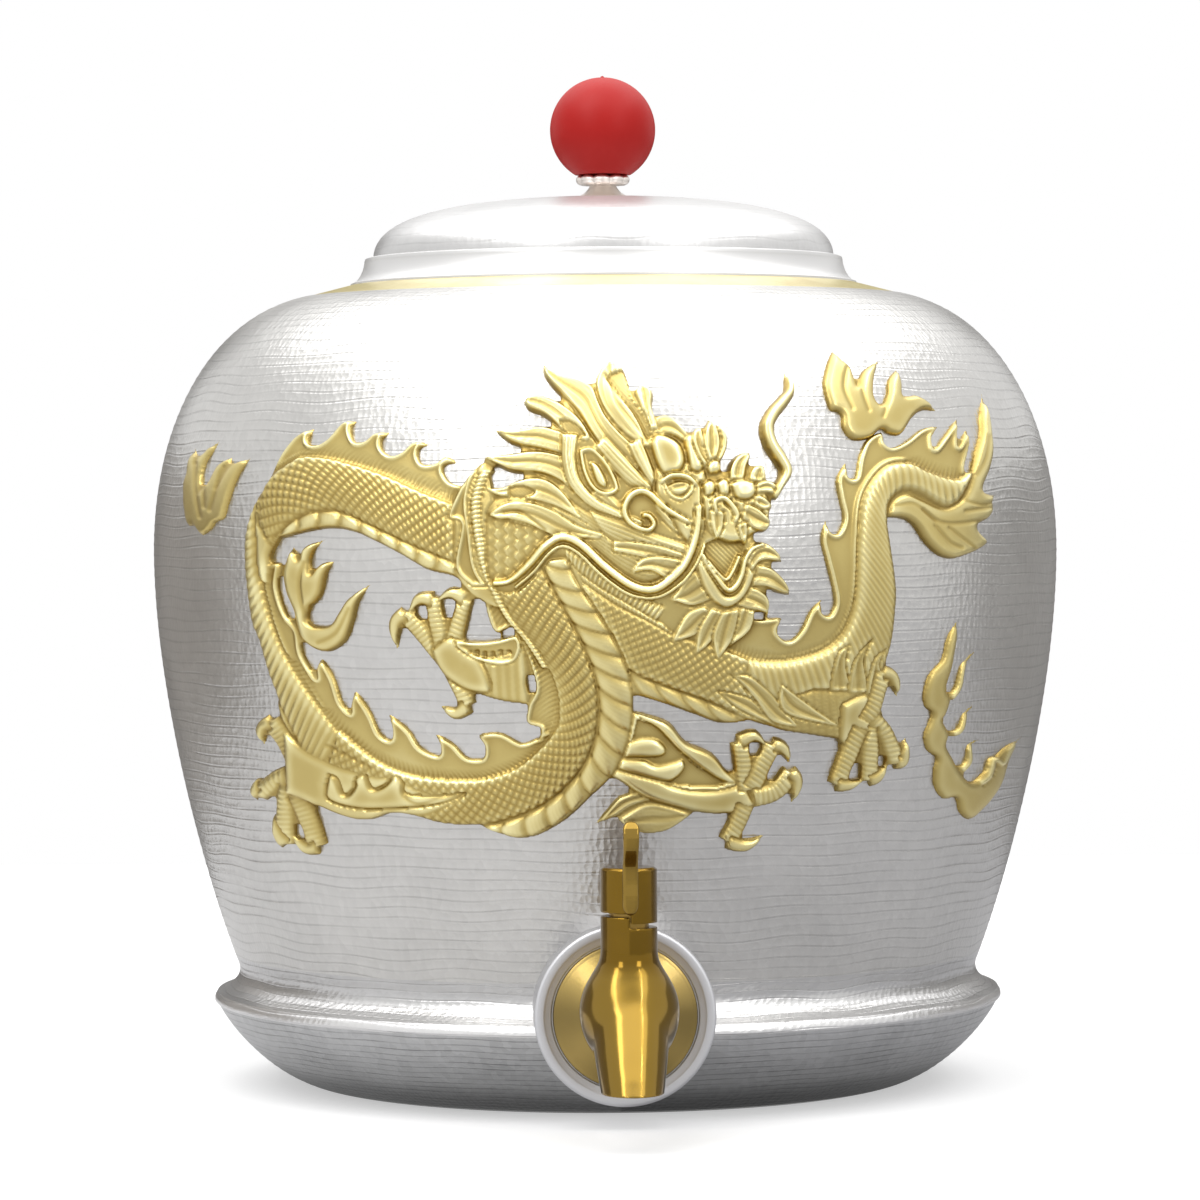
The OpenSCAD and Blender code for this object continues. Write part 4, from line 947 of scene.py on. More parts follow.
# %% [markdown]
# Metal that is pushed up from behind has no sharp corners. These helpers give a round shoulder, a row of
# creases and a soft blur. They work on whole arrays at once, which is far quicker than going place by
# place.

# %% Shoulders and creases
def shoulder(x):
    """A round shoulder: 0 at the edge and 1 inwards."""
    return np.sqrt(1 - (1 - np.clip(x, 0, 1))**2)


def crease(x, width):
    """1 on whole numbers and 0 between them."""
    return np.exp(-((x - np.round(x)) / width)**2)


def blurred(field, reach, times=2):
    """The mean of the places round each place, taken once or more."""
    for _ in range(times):
        for axis in (0, 1):
            pad = [(reach, reach) if k == axis else (0, 0) for k in (0, 1)]
            total = np.cumsum(np.pad(field, pad, mode="edge"), axis=axis)
            total = np.concatenate([np.zeros_like(np.take(total, [0], axis)), total], axis)
            far = np.arange(field.shape[axis])
            field = (np.take(total, far + 2 * reach + 1, axis) - np.take(total, far, axis)) / (2 * reach + 1)
    return field


print("shoulder, crease and blur ready")

# %% [markdown]
# The sheet keeps three numbers for each place: how high it stands, how deep it lies inside the drawing,
# and how much patina it holds. A form is drawn as a strip between two lines, a cord along one, or the
# inside of an outline. Mesh modelling by hand would take days for so many forms, and heights on a grid
# can be drawn over again and again.

# %% The chaser's sheet
SAMPLE, FILL_ROUNDS, OUTSIDE = 0.5 * STEP, 8, -9.0


class Sheet:
    """A sheet of metal with its heights, its depths inside the drawing, and its patina.

    A form's `rise` is its height in mm, `edge` says how many units its round shoulder takes, and `floor`
    which share of the rise it has at its very edge.
    """

    def __init__(self):
        self.x, self.y = np.meshgrid(np.arange(LEFT, RIGHT, STEP), np.arange(TOP, LOW, STEP))
        self.height, self.inside = np.zeros(self.x.shape), np.full(self.x.shape, OUTSIDE)
        self.patina = np.zeros(self.x.shape)

    def window(self, points, margin=5):
        """The rows and columns of the grid that some points need."""
        (x0, y0), (x1, y1) = points.min(0) - margin, points.max(0) + margin
        return (slice(max(int((y0 - TOP) / STEP), 0), int((y1 - TOP) / STEP) + 1),
                slice(max(int((x0 - LEFT) / STEP), 0), int((x1 - LEFT) / STEP) + 1))

    def depth_in(self, loop):
        """How deep each place lies inside a closed outline, and the window it was worked out on."""
        win = self.window(loop)
        x, y, ends = self.x[win], self.y[win], np.roll(loop, -1, 0)
        within = np.zeros(x.shape, bool)
        for (ax, ay), (bx, by) in zip(loop, ends):
            within ^= ((ay > y) != (by > y)) & (x < (bx - ax) * (y - ay) / ((by - ay) or 1) + ax)
        return win, np.where(within, 1, -1) * np.sqrt(nearest(x, y, loop, ends))

    def raise_to(self, win, deep, lift, form):
        """Cover what lies inside with a new form."""
        self.height[win] = np.where(deep > 0, lift, self.height[win])
        self.patina[win] = np.where(deep > 0, getattr(form, "patina", 0.0), self.patina[win])
        self.inside[win] = np.maximum(self.inside[win], deep)

    def between(self, a, b, run, rise, form, edge, floor):
        """Raise the strip between two lines. The form is told the way along it and across it."""
        width = np.hypot(*(a - b).T)
        t = np.linspace(0, 1, int(width.max() / SAMPLE) + 2)
        win, deep = self.depth_in(np.vstack([a[::3], a[-1:], b[::-3], b[:1]]))
        place = a[:, None] * (1 - t[None, :, None]) + b[:, None] * t[None, :, None]
        col = np.round((place[..., 0] - LEFT) / STEP).astype(int) - win[1].start
        row = np.round((place[..., 1] - TOP) / STEP).astype(int) - win[0].start
        ok = (col >= 0) & (row >= 0) & (col < deep.shape[1]) & (row < deep.shape[0])
        at = (row * deep.shape[1] + col)[ok]
        count = np.bincount(at, minlength=deep.size)

        def field(values):
            """Values that are known along the strip, spread to every place of the window."""
            total = np.bincount(at, np.broadcast_to(values, col.shape)[ok], minlength=deep.size)
            f, known = (total / np.maximum(count, 1)).reshape(deep.shape), (count > 0).reshape(deep.shape)
            for _ in range(FILL_ROUNDS):
                near, n = np.zeros_like(f), np.zeros_like(f)
                for shift in ((0, 1), (1, 0), (0, -1), (-1, 0)):
                    near += np.roll(f * known, shift, (0, 1))
                    n += np.roll(known, shift, (0, 1))
                f, known = np.where(known, f, near / np.maximum(n, 1)), known | (n > 0)
            return f

        along, across = field(np.linspace(0, run, len(a))[:, None]), field(t[None, :])
        off = field(t[None, :] * width[:, None])
        lift = rise * (floor + (1 - floor) * shoulder(deep / edge)) * form(along, across, off, deep)
        self.raise_to(win, deep, lift, form)

    def band(self, one, other, rise, form, edge=3.0, floor=0.66):
        """A strip between two drawn lines that run the same way."""
        one, other = curved(line(one)), curved(line(other))
        count = int(max(spaced(one, 2)[1], spaced(other, 2)[1]) / SAMPLE) + 2
        (a, run_a), (b, run_b) = spaced(one, count), spaced(other, count)
        self.between(a, b, 0.5 * (run_a + run_b), rise, form, edge, floor)

    def cord(self, spine, widths, rise, form, edge=3.0, floor=0.66):
        """A strand along a line, with half widths given from its start to its end."""
        middle = curved(line(spine))
        middle, run = spaced(middle, int(spaced(middle, 2)[1] / SAMPLE) + 2)
        head = np.gradient(middle, axis=0)
        head /= np.linalg.norm(head, axis=1)[:, None] + 1e-9
        share = np.linspace(0, 1, len(middle))
        half = np.interp(share, np.linspace(0, 1, len(widths)), widths)[:, None]
        side = np.column_stack([-head[:, 1], head[:, 0]]) * half
        self.between(middle - side, middle + side, run, rise, form, edge, floor)

    def plate(self, outline, rise, form, edge=3.0, floor=0.66):
        """The inside of a closed outline."""
        win, deep = self.depth_in(curved(line(outline)))
        x, y = self.x[win], self.y[win]
        lift = rise * (floor + (1 - floor) * shoulder(deep / edge)) * form(x, y, y, deep)
        self.raise_to(win, deep, lift, form)

    def scratch(self, path, width, depth):
        """A chased groove along a path, or a raised bead when the depth is negative."""
        points = curved(line(path))
        win = self.window(points)
        far = nearest(self.x[win], self.y[win], points, points[1:])
        self.height[win] -= depth * np.exp(-far / width**2) * (self.inside[win] > 0)


print("grid of", Sheet().x.shape, "places")

# %% [markdown]
# A chaser has a few punches, each with its own mark. So do these forms: each one says how a strip's
# height changes along it (a), across it (t from 0 to 1, w in units) and inwards from its edge (d). An
# outline has no strip, so there a is the place across the sheet, and t and w are the place down it. The
# sunk net between scales also holds patina.

# %% Punches
def flat(a, t, w, d):
    """A smooth face."""
    return np.ones_like(d)


def round_of(t):
    """A half round from one side of a strip to the other."""
    return np.sqrt(np.clip(1 - (2 * t - 1)**2, 0, 1))


def rod(a, t, w, d):
    """A round bar."""
    return 0.35 + 0.65 * round_of(t)


def rimmed(a, t, w, d):
    """A raised rim round a low middle."""
    return 0.62 + 0.38 * np.exp(-((d - 2.6) / 1.7)**2)


def leafy(a, t, w, d):
    """A leaf or a lock: a sunk rib, fine veins and a raised rim."""
    rib, rim = np.exp(-((t - 0.5) / 0.10)**2), np.exp(-((d - 2.4) / 1.5)**2)
    return 0.55 + 0.34 * round_of(t) - 0.16 * rib - 0.05 * crease(t * 7 + 0.02 * a, 0.16) + 0.16 * rim


def tongue(a, t, w, d):
    """A cushion that rises slowly from its edge."""
    return 0.5 + 0.5 * shoulder(d / 7)


def diamonds(pitch, depth=0.2):
    """Scales: a net of crossing lines, and a bead along the first side."""
    def form(a, t, w, d):
        net = np.maximum(crease((a + w) / pitch, 0.17), crease((a - w) / pitch, 0.17))
        swell = np.sqrt(np.clip(1 - (1.7 * t - 0.95)**2, 0, 1))
        return (0.62 + 0.38 * swell) * (1 - depth * net) + 0.22 * np.exp(-(w / 3.0)**2)
    form.patina = 1.1 * depth
    return form


def tiles(pitch, wide, depth=0.26):
    """Round scales that overlap like roof tiles."""
    def form(a, t, w, d):
        col = w / wide + 0.5 * (np.floor(a / pitch) % 2)
        step = a / pitch + 0.45 * (1 - (2 * (col - np.round(col)))**2)
        return (0.66 + 0.34 * round_of(t)) * (1 - depth * (step - np.floor(step)))
    return form


def plates(pitch, slant, depth=0.34):
    """Belly plates: cushions with bowed joints and fine lines."""
    def form(a, t, w, d):
        step = a / pitch + slant * t + 0.5 * t * (1 - t)
        step = step - np.floor(step)
        cushion = np.sqrt(np.sin(np.pi * step**0.75))
        fine = crease(step * 6, 0.2) * (step > 0.3)
        return (0.55 + 0.45 * round_of(t)) * (1 - depth * (1 - cushion) - 0.025 * fine)
    return form


def rungs(pitch, depth=0.16, slant=0.0):
    """Grooves across the strip, like a ladder's rungs."""
    def form(a, t, w, d):
        return (0.6 + 0.4 * round_of(t)) * (1 - depth * crease(a / pitch + slant * t, 0.22))
    return form


def comb(pitch, reach, bend=0.03, depth=0.3):
    """A fin: fine bowed hatching along its base, and a round raised rim along its teeth."""
    def form(a, t, w, d):
        hatch = crease((a + bend * w * w) / pitch, 0.25) * np.clip(1.4 - w / reach, 0, 1)
        rim = np.exp(-((d - 2.6) / 1.8)**2) * (w > 5)
        return 0.55 + 0.42 * rim - depth * hatch + 0.25 * np.exp(-(w / 3.0)**2)
    return form


def stipple(a, t, w, d):
    """A sunk ground with small dots."""
    return 0.62 + 0.10 * np.sin(1.9 * a) * np.sin(1.9 * t)


def strands(count):
    """Hair: fine lines that run along the strip."""
    def form(a, t, w, d):
        return (0.62 + 0.38 * round_of(t)) * (1 - 0.16 * crease(t * count, 0.16))
    return form


def two_strands(a, t, w, d):
    """A bar with a groove along it."""
    return rod(a, t, w, d) * (1 - 0.14 * np.exp(-((t - 0.62) / 0.1)**2))


print("punches ready")

# %% [markdown]
# The loose flames have a sheet of their own: three separate tongues of gilt metal round the dragon. They
# are the simplest forms, so they come first.

# %% Loose flames
flames = Sheet()
flames.plate(
    "203,534 203,534 198,526 195,519 191,524 188,520 186,508 185,494 185,482 189,470 190,460 196,446 "
    "196,446 199,456 199,462 203,455 210,446 222,437 222,437 215,449 208,460 204,474 203,490 203,490 "
    "209,483 214,473 220,463 234,454 234,454 228,464 223,472 220,485 220,485 226,476 232,467 240,460 "
    "252,456 252,456 244,467 238,478 233,491 229,504 225,516 217,520 212,527 203,534",
    1.3, flat, 3)
flames.plate(
    "826,402 823,386 827,366 833,352 833,352 840,362 850,370 856,389 862,374 880,362 880,362 874,378 "
    "873,398 880,408 886,396 888,382 897,371 897,371 901,386 902,399 915,398 928,405 938,414 938,414 "
    "922,413 911,421 900,437 888,436 880,432 868,441 852,442 842,430 840,416 830,412 826,402",
    1.7, tongue, 4)
flames.plate(
    "957,621 957,621 955,640 950,668 944,690 948,702 944,716 940,722 946,735 944,748 950,760 957,774 "
    "968,784 980,776 1000,752 1019,741 1019,741 1008,760 1000,785 990,801 980,812 967,822 957,814 "
    "953,800 941,801 932,788 932,770 934,760 925,752 922,738 928,722 930,715 923,708 922,694 928,676 "
    "940,662 946,640 957,621",
    1.3, tongue, 4)
FLAME_TONGUES = (
    "948,700 956,690 962,668 974,654",
    "950,736 958,732 964,716 972,708",
    "958,772 966,764 968,748 978,742",
    "975,785 984,778 990,762 998,765 1006,752 1019,741")
for path in FLAME_TONGUES:
    flames.cord(path, (3.2, 3.4, 2.4, 0.8), 1.7, rod, 2.5)
flames.scratch("957,621 955,640 950,668 944,690", 2.2, -0.35)
FLAME_LINES = (
    "845,372 842,392 850,412",
    "862,372 860,394 866,414",
    "885,384 886,402 880,420",
    "200,462 200,490 204,515",
    "214,452 208,480 208,505",
    "228,465 220,488 214,508")
for path in FLAME_LINES:
    flames.scratch(path, 1.8, 0.28)
print("flames drawn")

# %% [markdown]
# The dragon is drawn from back to front, so that each form covers the edge of the one behind it. The tail
# comes first: a fin with teeth, a tuft of hair, and the ringed body that runs back under the head. A line
# that two forms share has a name, so they can't part.

# %% Tail
dragon = Sheet()
TAIL_BACK = (
    "724,651 752,661 785,662 818,653 838,638 850,612 854,580 855,545 858,507 867,485 884,468 906,466 "
    "924,474 943,481")
dragon.band(
    f"{TAIL_BACK} 962,482",
    "738,618 760,620 781,619 775,632 786,642 799,632 809,612 821,601 819,612 827,617 833,603 829,580 "
    "824,560 820,540 826,520 828,532 836,535 842,520 838,500 836,480 846,464 846,478 854,480 858,460 "
    "866,442 882,434 882,444 890,450 904,444 920,432 938,429 930,440 932,452 942,440 957,421 955,440 "
    "956,450 966,432 968,446 962,470",
    1.7, comb(5.5, 10), 3)
dragon.plate(
    "884,519 887,507 895,499 906,497 920,503 935,510 945,510 958,502 965,488 969,474 974,454 979,436 "
    "979,418 982,398 982,398 987,414 990,436 991,456 987,474 980,491 984,496 995,498 995,498 990,504 "
    "991,512 986,521 974,528 978,536 988,544 988,544 976,552 962,558 950,561 938,558 928,550 920,540 "
    "912,528 902,521 884,519",
    2.0, tongue, 4)
TUFT_LINES = (
    "892,508 908,506 920,514 930,524",
    "918,512 934,524 954,526 980,522",
    "944,530 956,540 970,550",
    "930,528 944,544 956,550",
    "962,504 976,508 990,505",
    "972,478 980,462 984,440",
    "960,514 974,512 990,510")
for path in TUFT_LINES:
    dragon.scratch(path, 1.5, 0.3)
dragon.band(
    f"690,644 {TAIL_BACK} 956,482 968,474",
    "700,702 739,718 773,728 804,728 850,712 884,660 893,610 893,581 888,545 884,516 888,502 900,493 "
    "916,496 930,505 943,510 956,502 967,478",
    2.6, rungs(7.5, 0.09, 0.35), 6)
print("tail drawn")

# %% [markdown]
# Behind the head the body shows its parts side by side: a strip of belly plates, a field of scales, and a
# hatched band. The right leg ends in four toes. A toe is a ringed cord with a bent nail, so one function
# makes them all.

# %% Rear body and right leg
# rear body under the head: ground, belly strip, scaled field, hatched band
dragon.plate("556,556 600,566 650,606 690,640 660,680 636,696 612,668 584,610 556,556", 2.0, flat, 6)
dragon.band(
    "628,669 660,684 703,700 739,716",
    "630,694 660,703 696,716 720,724 744,722",
    1.9, plates(27, -0.6), 4)
dragon.band(
    "583,584 614,605 646,621 671,635 721,650 745,660",
    "572,600 600,640 628,669 660,684 703,700 745,716",
    2.7, diamonds(9, 0.14), 5)
dragon.band(
    "566,548 600,572 640,602 672,628",
    "583,582 614,604 646,621 672,636",
    2.6, rungs(5, 0.22, 0.8), 3)


def leaves(pairs, rise):
    """Pointed leaves or locks, each between two drawn lines."""
    for one, other in pairs:
        dragon.band(one, other, rise, leafy, 4)


def toes(drawn, widths, rise, ring_depth, nail_widths, nail_rise):
    """Ringed toes with bent nails, each drawn as its root, its bend and its tip."""
    for root, knee, tip in drawn:
        dragon.cord(root + " " + knee, widths, rise, rungs(5, ring_depth, 0.5), 4)
        dragon.cord(knee.split()[-1] + " " + tip, nail_widths, nail_rise, rod, 3)


# right leg
dragon.band(
    "812,688 840,690 852,691 868,699 872,715",
    "743,711 773,729 804,735 845,741 866,736",
    2.4, diamonds(9, 0.08), 6)
dragon.plate("836,704 860,694 876,706 880,724 872,744 850,748 834,740 836,704", 2.5, tongue, 8)
LEG_FLAMES = (
    ("824,692 828,668 834,652 845,644", "848,692 843,672 842,660 845,644"),
    ("842,694 846,668 854,652 868,638", "866,694 861,672 860,658 868,638"),
    ("860,696 864,672 870,657 881,649", "880,694 877,674 875,664 881,649"))
leaves(LEG_FLAMES, 2.5)
dragon.band("713,690 730,692 752,701 776,728", "713,690 730,706 752,718 776,728", 2.3, leafy, 3)
dragon.band(
    "725,673 746,675 763,688 777,703 796,728",
    "725,673 737,684 750,699 768,722 796,728",
    2.7, leafy, 3)
dragon.band("777,683 792,694 809,707 838,728", "777,683 774,699 785,716 838,728", 2.9, leafy, 3)
RIGHT_TOES = (
    ("861,722", "871,703 879,673", "890,678 896,699"),
    ("868,720", "882,735 892,764", "899,762 904,740"),
    ("864,728", "866,750 865,782", "874,778 884,766"),
    ("856,728", "846,752 833,786", "846,786 860,781"))
toes(RIGHT_TOES, (9.5, 9, 8.5), 2.4, 0.12, (7.5, 6, 0.8), 2.1)
print("rear body and right leg drawn")

# %% [markdown]
# The front leg is a smooth thigh with a hollow, stippled ground between two raised muscles. The other two
# claws are made in the same way, one behind the front loop and one at the far left.

# %% Front leg and claws
# front leg
dragon.band("640,790 618,796 606,808 592,825", "650,800 630,806 612,817 592,825", 1.7, leafy, 3)
dragon.band("688,813 668,806 644,803 616,819", "690,814 664,831 634,832 616,819", 1.9, leafy, 3)
dragon.band(
    "634,711 656,717 670,724 684,741 710,753 724,770 740,783",
    "612,776 640,795 672,806 706,814 738,812 750,804",
    2.4, flat, 6)
dragon.plate(
    "636,718 656,728 672,746 696,767 722,783 700,786 672,784 640,778 620,762 630,740 636,718",
    2.0, stipple, 3)
dragon.band(
    "634,711 656,717 670,724 684,741 710,753 724,770 736,783",
    "636,716 654,727 664,737 674,748 692,763 710,776 724,783",
    2.7, tongue, 4)
dragon.band(
    "606,766 630,770 655,777 672,785 694,789 716,788 740,782",
    "608,774 640,795 672,806 706,814 738,812 752,804",
    2.6, tongue, 7)
dragon.plate("614,744 640,737 654,738 663,745 664,752 658,756 640,757 616,756 614,744", 2.6, tongue, 6)
dragon.plate(
    "614,757 640,758 655,764 672,761 680,759 683,766 676,776 664,781 640,776 616,768 614,757",
    2.7, tongue, 6)
FRONT_TOES = (
    ("744,790", "741,770 737,742", "752,736 764,747"),
    ("748,788", "758,768 770,745", "780,748 788,764"),
    ("750,798", "772,792 788,772", "794,782 790,804"),
    ("742,804", "735,822 724,842", "742,846 762,836"))
toes(FRONT_TOES, (10, 9.5, 9), 2.5, 0.12, (8, 6.5, 0.8), 2.2)
# inner claw, behind the band
dragon.band("463,646 500,640 524,640", "470,690 500,700 530,704", 2.2, rungs(9, 0.08, 0.4), 5)
dragon.band("466,646 488,640 514,638 520,640", "466,652 488,662 510,660 520,644", 2.4, rimmed, 3)
INNER_TOES = (
    ("450,664", "430,640 406,612", "396,622 397,648"),
    ("448,658", "440,630 434,598", "420,598 410,612"),
    ("452,650", "458,628 466,598", "452,592 438,600"),
    ("452,668", "462,690 468,705", "456,712 440,705"))
toes(INNER_TOES, (10, 9, 8.5), 2.3, 0.14, (8.5, 6.5, 0.8), 2.1)
dragon.plate("432,648 448,636 466,640 486,664 492,690 470,690 452,680 440,668 432,648", 2.5, tongue, 8)
dragon.band(
    "456,638 480,640 500,638 516,634 522,640",
    "458,646 476,658 500,664 516,660 522,648",
    2.7, rimmed, 3)
dragon.cord("470,650 490,653 512,650", (2, 3.5, 2), 1.7, rungs(8, 0.5), 2)
# hind claw and haunch
HIND_TOES = (
    ("296,758", "286,738 272,719", "262,726 263,743"),
    ("290,772", "276,778 260,792", "256,788 257,776"),
    ("290,782", "286,806 286,842", "278,830 274,812"),
    ("298,790", "308,815 318,845", "306,846 294,834"))
toes(HIND_TOES, (10, 9.5, 9), 2.0, 0.1, (8, 6, 0.8), 1.8)
dragon.band("277,698 285,720 305,750", "292,706 300,730 308,746", 1.9, tongue, 4)
print("front leg and claws drawn")

# %% [markdown]
# The front loop is the boldest form: a scaled body with a row of belly plates along it, and combed fins
# on its back. The fins are laid first, so that the body's round edge covers their roots.

# %% Front loop
# fins of the front loop
LOOP_LEFT = "264,575 268,599 277,628 289,656 305,683 322,707 344,734 373,756"
LOOP_UNDER = "403,771 434,777 480,778 519,765"
LOOP_RIGHT = "559,713 557,690 549,667 534,642 515,619 503,598 494,581"
LOOP_SEAM = "597,713 595,684 589,663 578,636 564,610 549,581"
NECK_SEAM = "389,532 365,520 345,511 329,509 310,512 294,521"
dragon.band(
    "460,506 453,502 421,490 389,476 357,465 329,458 306,456 290,463 276,474 266,492",
    "466,486 452,482 445,472 447,465 458,462 447,456 437,463 425,464 420,456 422,448 430,444 416,441 "
    "403,452 392,455 384,448 384,439 391,431 376,433 366,441 357,441 353,428 358,420 345,422 331,437 "
    "320,444 312,443 311,437 315,427 299,435 286,450 276,468 266,488",
    1.8, comb(6.0, 12), 3)
dragon.band(
    f"262,538 {LOOP_LEFT} {LOOP_UNDER} 540,751 552,734",
    "272,562 282,562 280,585 288,612 300,628 304,652 318,676 318,665 322,657 334,676 342,700 352,711 "
    "352,700 355,690 370,710 380,732 391,738 392,726 388,713 408,728 420,746 438,754 440,744 434,733 "
    "452,742 466,756 482,757 484,745 478,734 500,732 520,742 534,738",
    1.7, comb(5.5, 9), 3)
dragon.band(
    f"552,734 {LOOP_RIGHT}",
    "536,740 540,728 526,722 528,704 535,688 530,664 520,640 514,626 496,632 487,612 484,590",
    2.1, comb(5.0, 22, 0.01, 0.22), 3)
# front loop body
dragon.plate(
    "262,498 280,500 296,512 290,526 280,540 273,556 271,580 263,570 260,530 262,498",
    2.5, flat, 5)
dragon.band(
    f"264,490 261,520 262,535 {LOOP_LEFT}",
    "263,492 255,510 249,530 247,552 249,583 254,620 261,638 271,673 284,706 300,742 316,790 350,812",
    2.4, rungs(9.5, 0.12), 6)
dragon.band(
    f"340,728 373,756 {LOOP_UNDER} 553,732 {LOOP_RIGHT} 486,560",
    "318,800 342,813 369,818 393,811 414,814 444,822 480,823 524,811 553,795 576,772 "
    f"591,744 {LOOP_SEAM} 538,560",
    2.8, diamonds(9.5), 6)
dragon.band(
    f"480,824 496,822 524,813 553,797 576,774 591,746 {LOOP_SEAM} 540,560",
    "492,830 515,837 538,834 566,818 591,795 612,774 626,746 632,713 630,682 622,654 608,627 591,600 "
    "578,581 568,558",
    2.7, plates(24, 0.45), 5)
dragon.band(
    "462,507 453,504 421,491 389,476 357,465 329,458 306,457 294,463 278,475 267,491 262,520",
    f"458,562 453,561 421,547 {NECK_SEAM} 283,532 276,545",
    2.8, diamonds(9.5), 6)
dragon.band(
    f"458,562 421,547 {NECK_SEAM} 280,534",
    "466,584 453,575 429,569 405,555 381,542 357,531 334,527 310,530 286,536",
    2.5, plates(21, -0.7), 4)
# haunch over the lower loop
dragon.band(
    "288,730 310,748 340,762 372,772 398,776 430,790 468,792",
    "290,790 306,796 342,813 369,818 393,811 430,812 468,792",
    2.7, flat, 7)
dragon.plate(
    "332,770 342,775 348,790 356,784 358,774 368,771 376,784 386,782 396,772 406,780 410,790 440,792 "
    "468,790 440,802 400,806 360,806 330,795 332,770",
    2.9, tongue, 4)
HAUNCH_LINES = (
    "338,776 345,790 352,792 360,780",
    "368,774 374,786 384,784 396,776",
    "404,778 406,792 420,800 440,796 466,791",
    "330,742 350,752 372,764")
for path in HAUNCH_LINES:
    dragon.scratch(path, 1.6, 0.4)
# inner flame
dragon.plate(
    "300,626 296,610 288,590 286,570 293,544 293,544 298,552 302,558 306,545 327,537 327,537 316,548 "
    "312,562 314,572 322,562 335,559 335,559 328,572 324,590 318,600 312,606 310,618 318,624 332,622 "
    "340,610 350,596 372,581 372,581 360,600 354,622 346,640 330,650 314,646 304,636 300,626",
    2.2, tongue, 5)
dragon.scratch("310,618 306,600 304,580 308,560", 1.6, 0.4)
dragon.scratch("322,640 340,630 352,606", 1.6, 0.3)
print("front loop drawn")

# %% [markdown]
# The mane is a heap of locks that overlap from the back to the front, over a low ground that keeps gaps
# from showing. Each lock is a leaf between two lines, with a rib and a raised rim.

# %% Neck and mane
# frill
dragon.plate("456,506 484,464 496,500 494,560 504,604 486,602 468,588 456,566 456,506", 2.0, flat, 4)
dragon.band(
    "486,462 478,474 470,500 473,530 478,566 490,586",
    "481,464 465,483 450,517 463,524 457,566 474,586",
    2.4, rimmed, 3)
dragon.band(
    "496,470 486,490 484,520 490,556 503,598 515,619 534,642 549,667",
    "480,474 472,500 474,530 480,562 492,592 506,618 524,640 542,668",
    2.8, rungs(4.6, 0.34, 0.7), 3)
# ground under mane, neck and head, so that no gap shows between the locks
dragon.plate(
    "566,404 600,384 640,404 662,424 700,440 722,474 762,490 770,510 752,538 770,556 764,590 740,634 "
    "712,644 676,636 640,606 600,585 560,556 520,590 492,584 486,540 492,505 520,490 545,470 548,436 "
    "566,404",
    2.0, flat, 8)
dragon.plate(
    "488,512 510,520 546,532 556,548 530,566 512,580 494,584 488,560 488,512",
    2.6, tiles(10, 11, 0.26), 5)
# combed hair of the neck and cheek, and the rope under the long whisker
dragon.band(
    "556,488 580,506 606,522 632,534 660,543 692,550",
    "552,530 580,541 600,556 622,574 646,584 676,572",
    2.5, strands(11), 5)
dragon.band(
    "600,488 618,500 630,520 650,536 690,546",
    "584,498 600,516 618,530 650,546 688,556",
    2.7, strands(6), 4)
dragon.band(
    "560,545 580,553 600,568 620,587 640,597 664,605",
    "566,557 580,573 600,588 620,600 640,612 656,622",
    2.6, rungs(5.2, 0.3, 0.8), 3)
# mane: locks from the back to the front
MANE_LOCKS = (
    ("652,432 655,420 668,417 681,427 689,441", "660,442 668,440 676,444 684,448 689,441"),
    ("660,434 653,412 653,394 642,386", "648,432 640,410 635,395 642,386"),
    ("592,440 584,424 570,411 552,400 536,396 524,402",
     "588,444 568,438 556,426 544,417 530,411 524,402"),
    ("572,436 556,431 540,427 515,431 495,429", "570,460 556,455 540,451 516,446 503,438 495,429"),
    ("572,460 556,454 536,452 512,454 484,457", "574,494 560,482 542,475 514,473 498,466 484,457"),
    ("582,518 564,492 544,479 520,480 505,487 487,489",
     "590,526 565,512 545,504 520,499 500,497 487,489"),
    ("606,534 580,526 556,511 536,503 516,501 502,505 490,515",
     "600,540 560,538 546,533 530,525 512,520 500,520 490,515"),
    ("646,456 624,438 608,420 600,404 594,390 580,382 560,376 544,364",
     "634,480 618,468 604,454 592,436 580,416 566,402 553,388 545,376 544,364"),
    ("654,444 646,418 633,400 629,384 622,369 610,363",
     "648,452 626,438 608,418 599,402 596,386 600,374 610,363"))
leaves(MANE_LOCKS, 3.0)
MANE_FIELDS = (
    "624,374 628,386 632,402 641,414 649,430 651,440 645,438 636,421 626,406 615,391 609,380 624,374",
    "560,422 574,424 586,438 568,437 560,422",
    "662,438 672,438 684,446 668,446 662,438",
    "510,488 524,486 536,492 528,498 512,497 510,488")
for field in MANE_FIELDS:
    dragon.plate(field, 2.7, stipple, 3)
MANE_LINES = (
    "606,380 622,402 636,418 648,442",
    "528,409 545,417 558,427 568,438",
    "500,434 516,444 540,450 562,456",
    "490,461 512,471 540,474 562,486",
    "506,513 520,512 534,520 546,530",
    "549,382 570,404 588,430 604,452")
for path in MANE_LINES:
    dragon.scratch(path, 1.6, 0.6)
print("neck and mane drawn")

# %% [markdown]
# The face is small and busy, so it is built up from many low cushions: cheek, brow, beard, jaw, snout and
# eye. Each next one is raised a little higher, as a chaser would push it from behind.

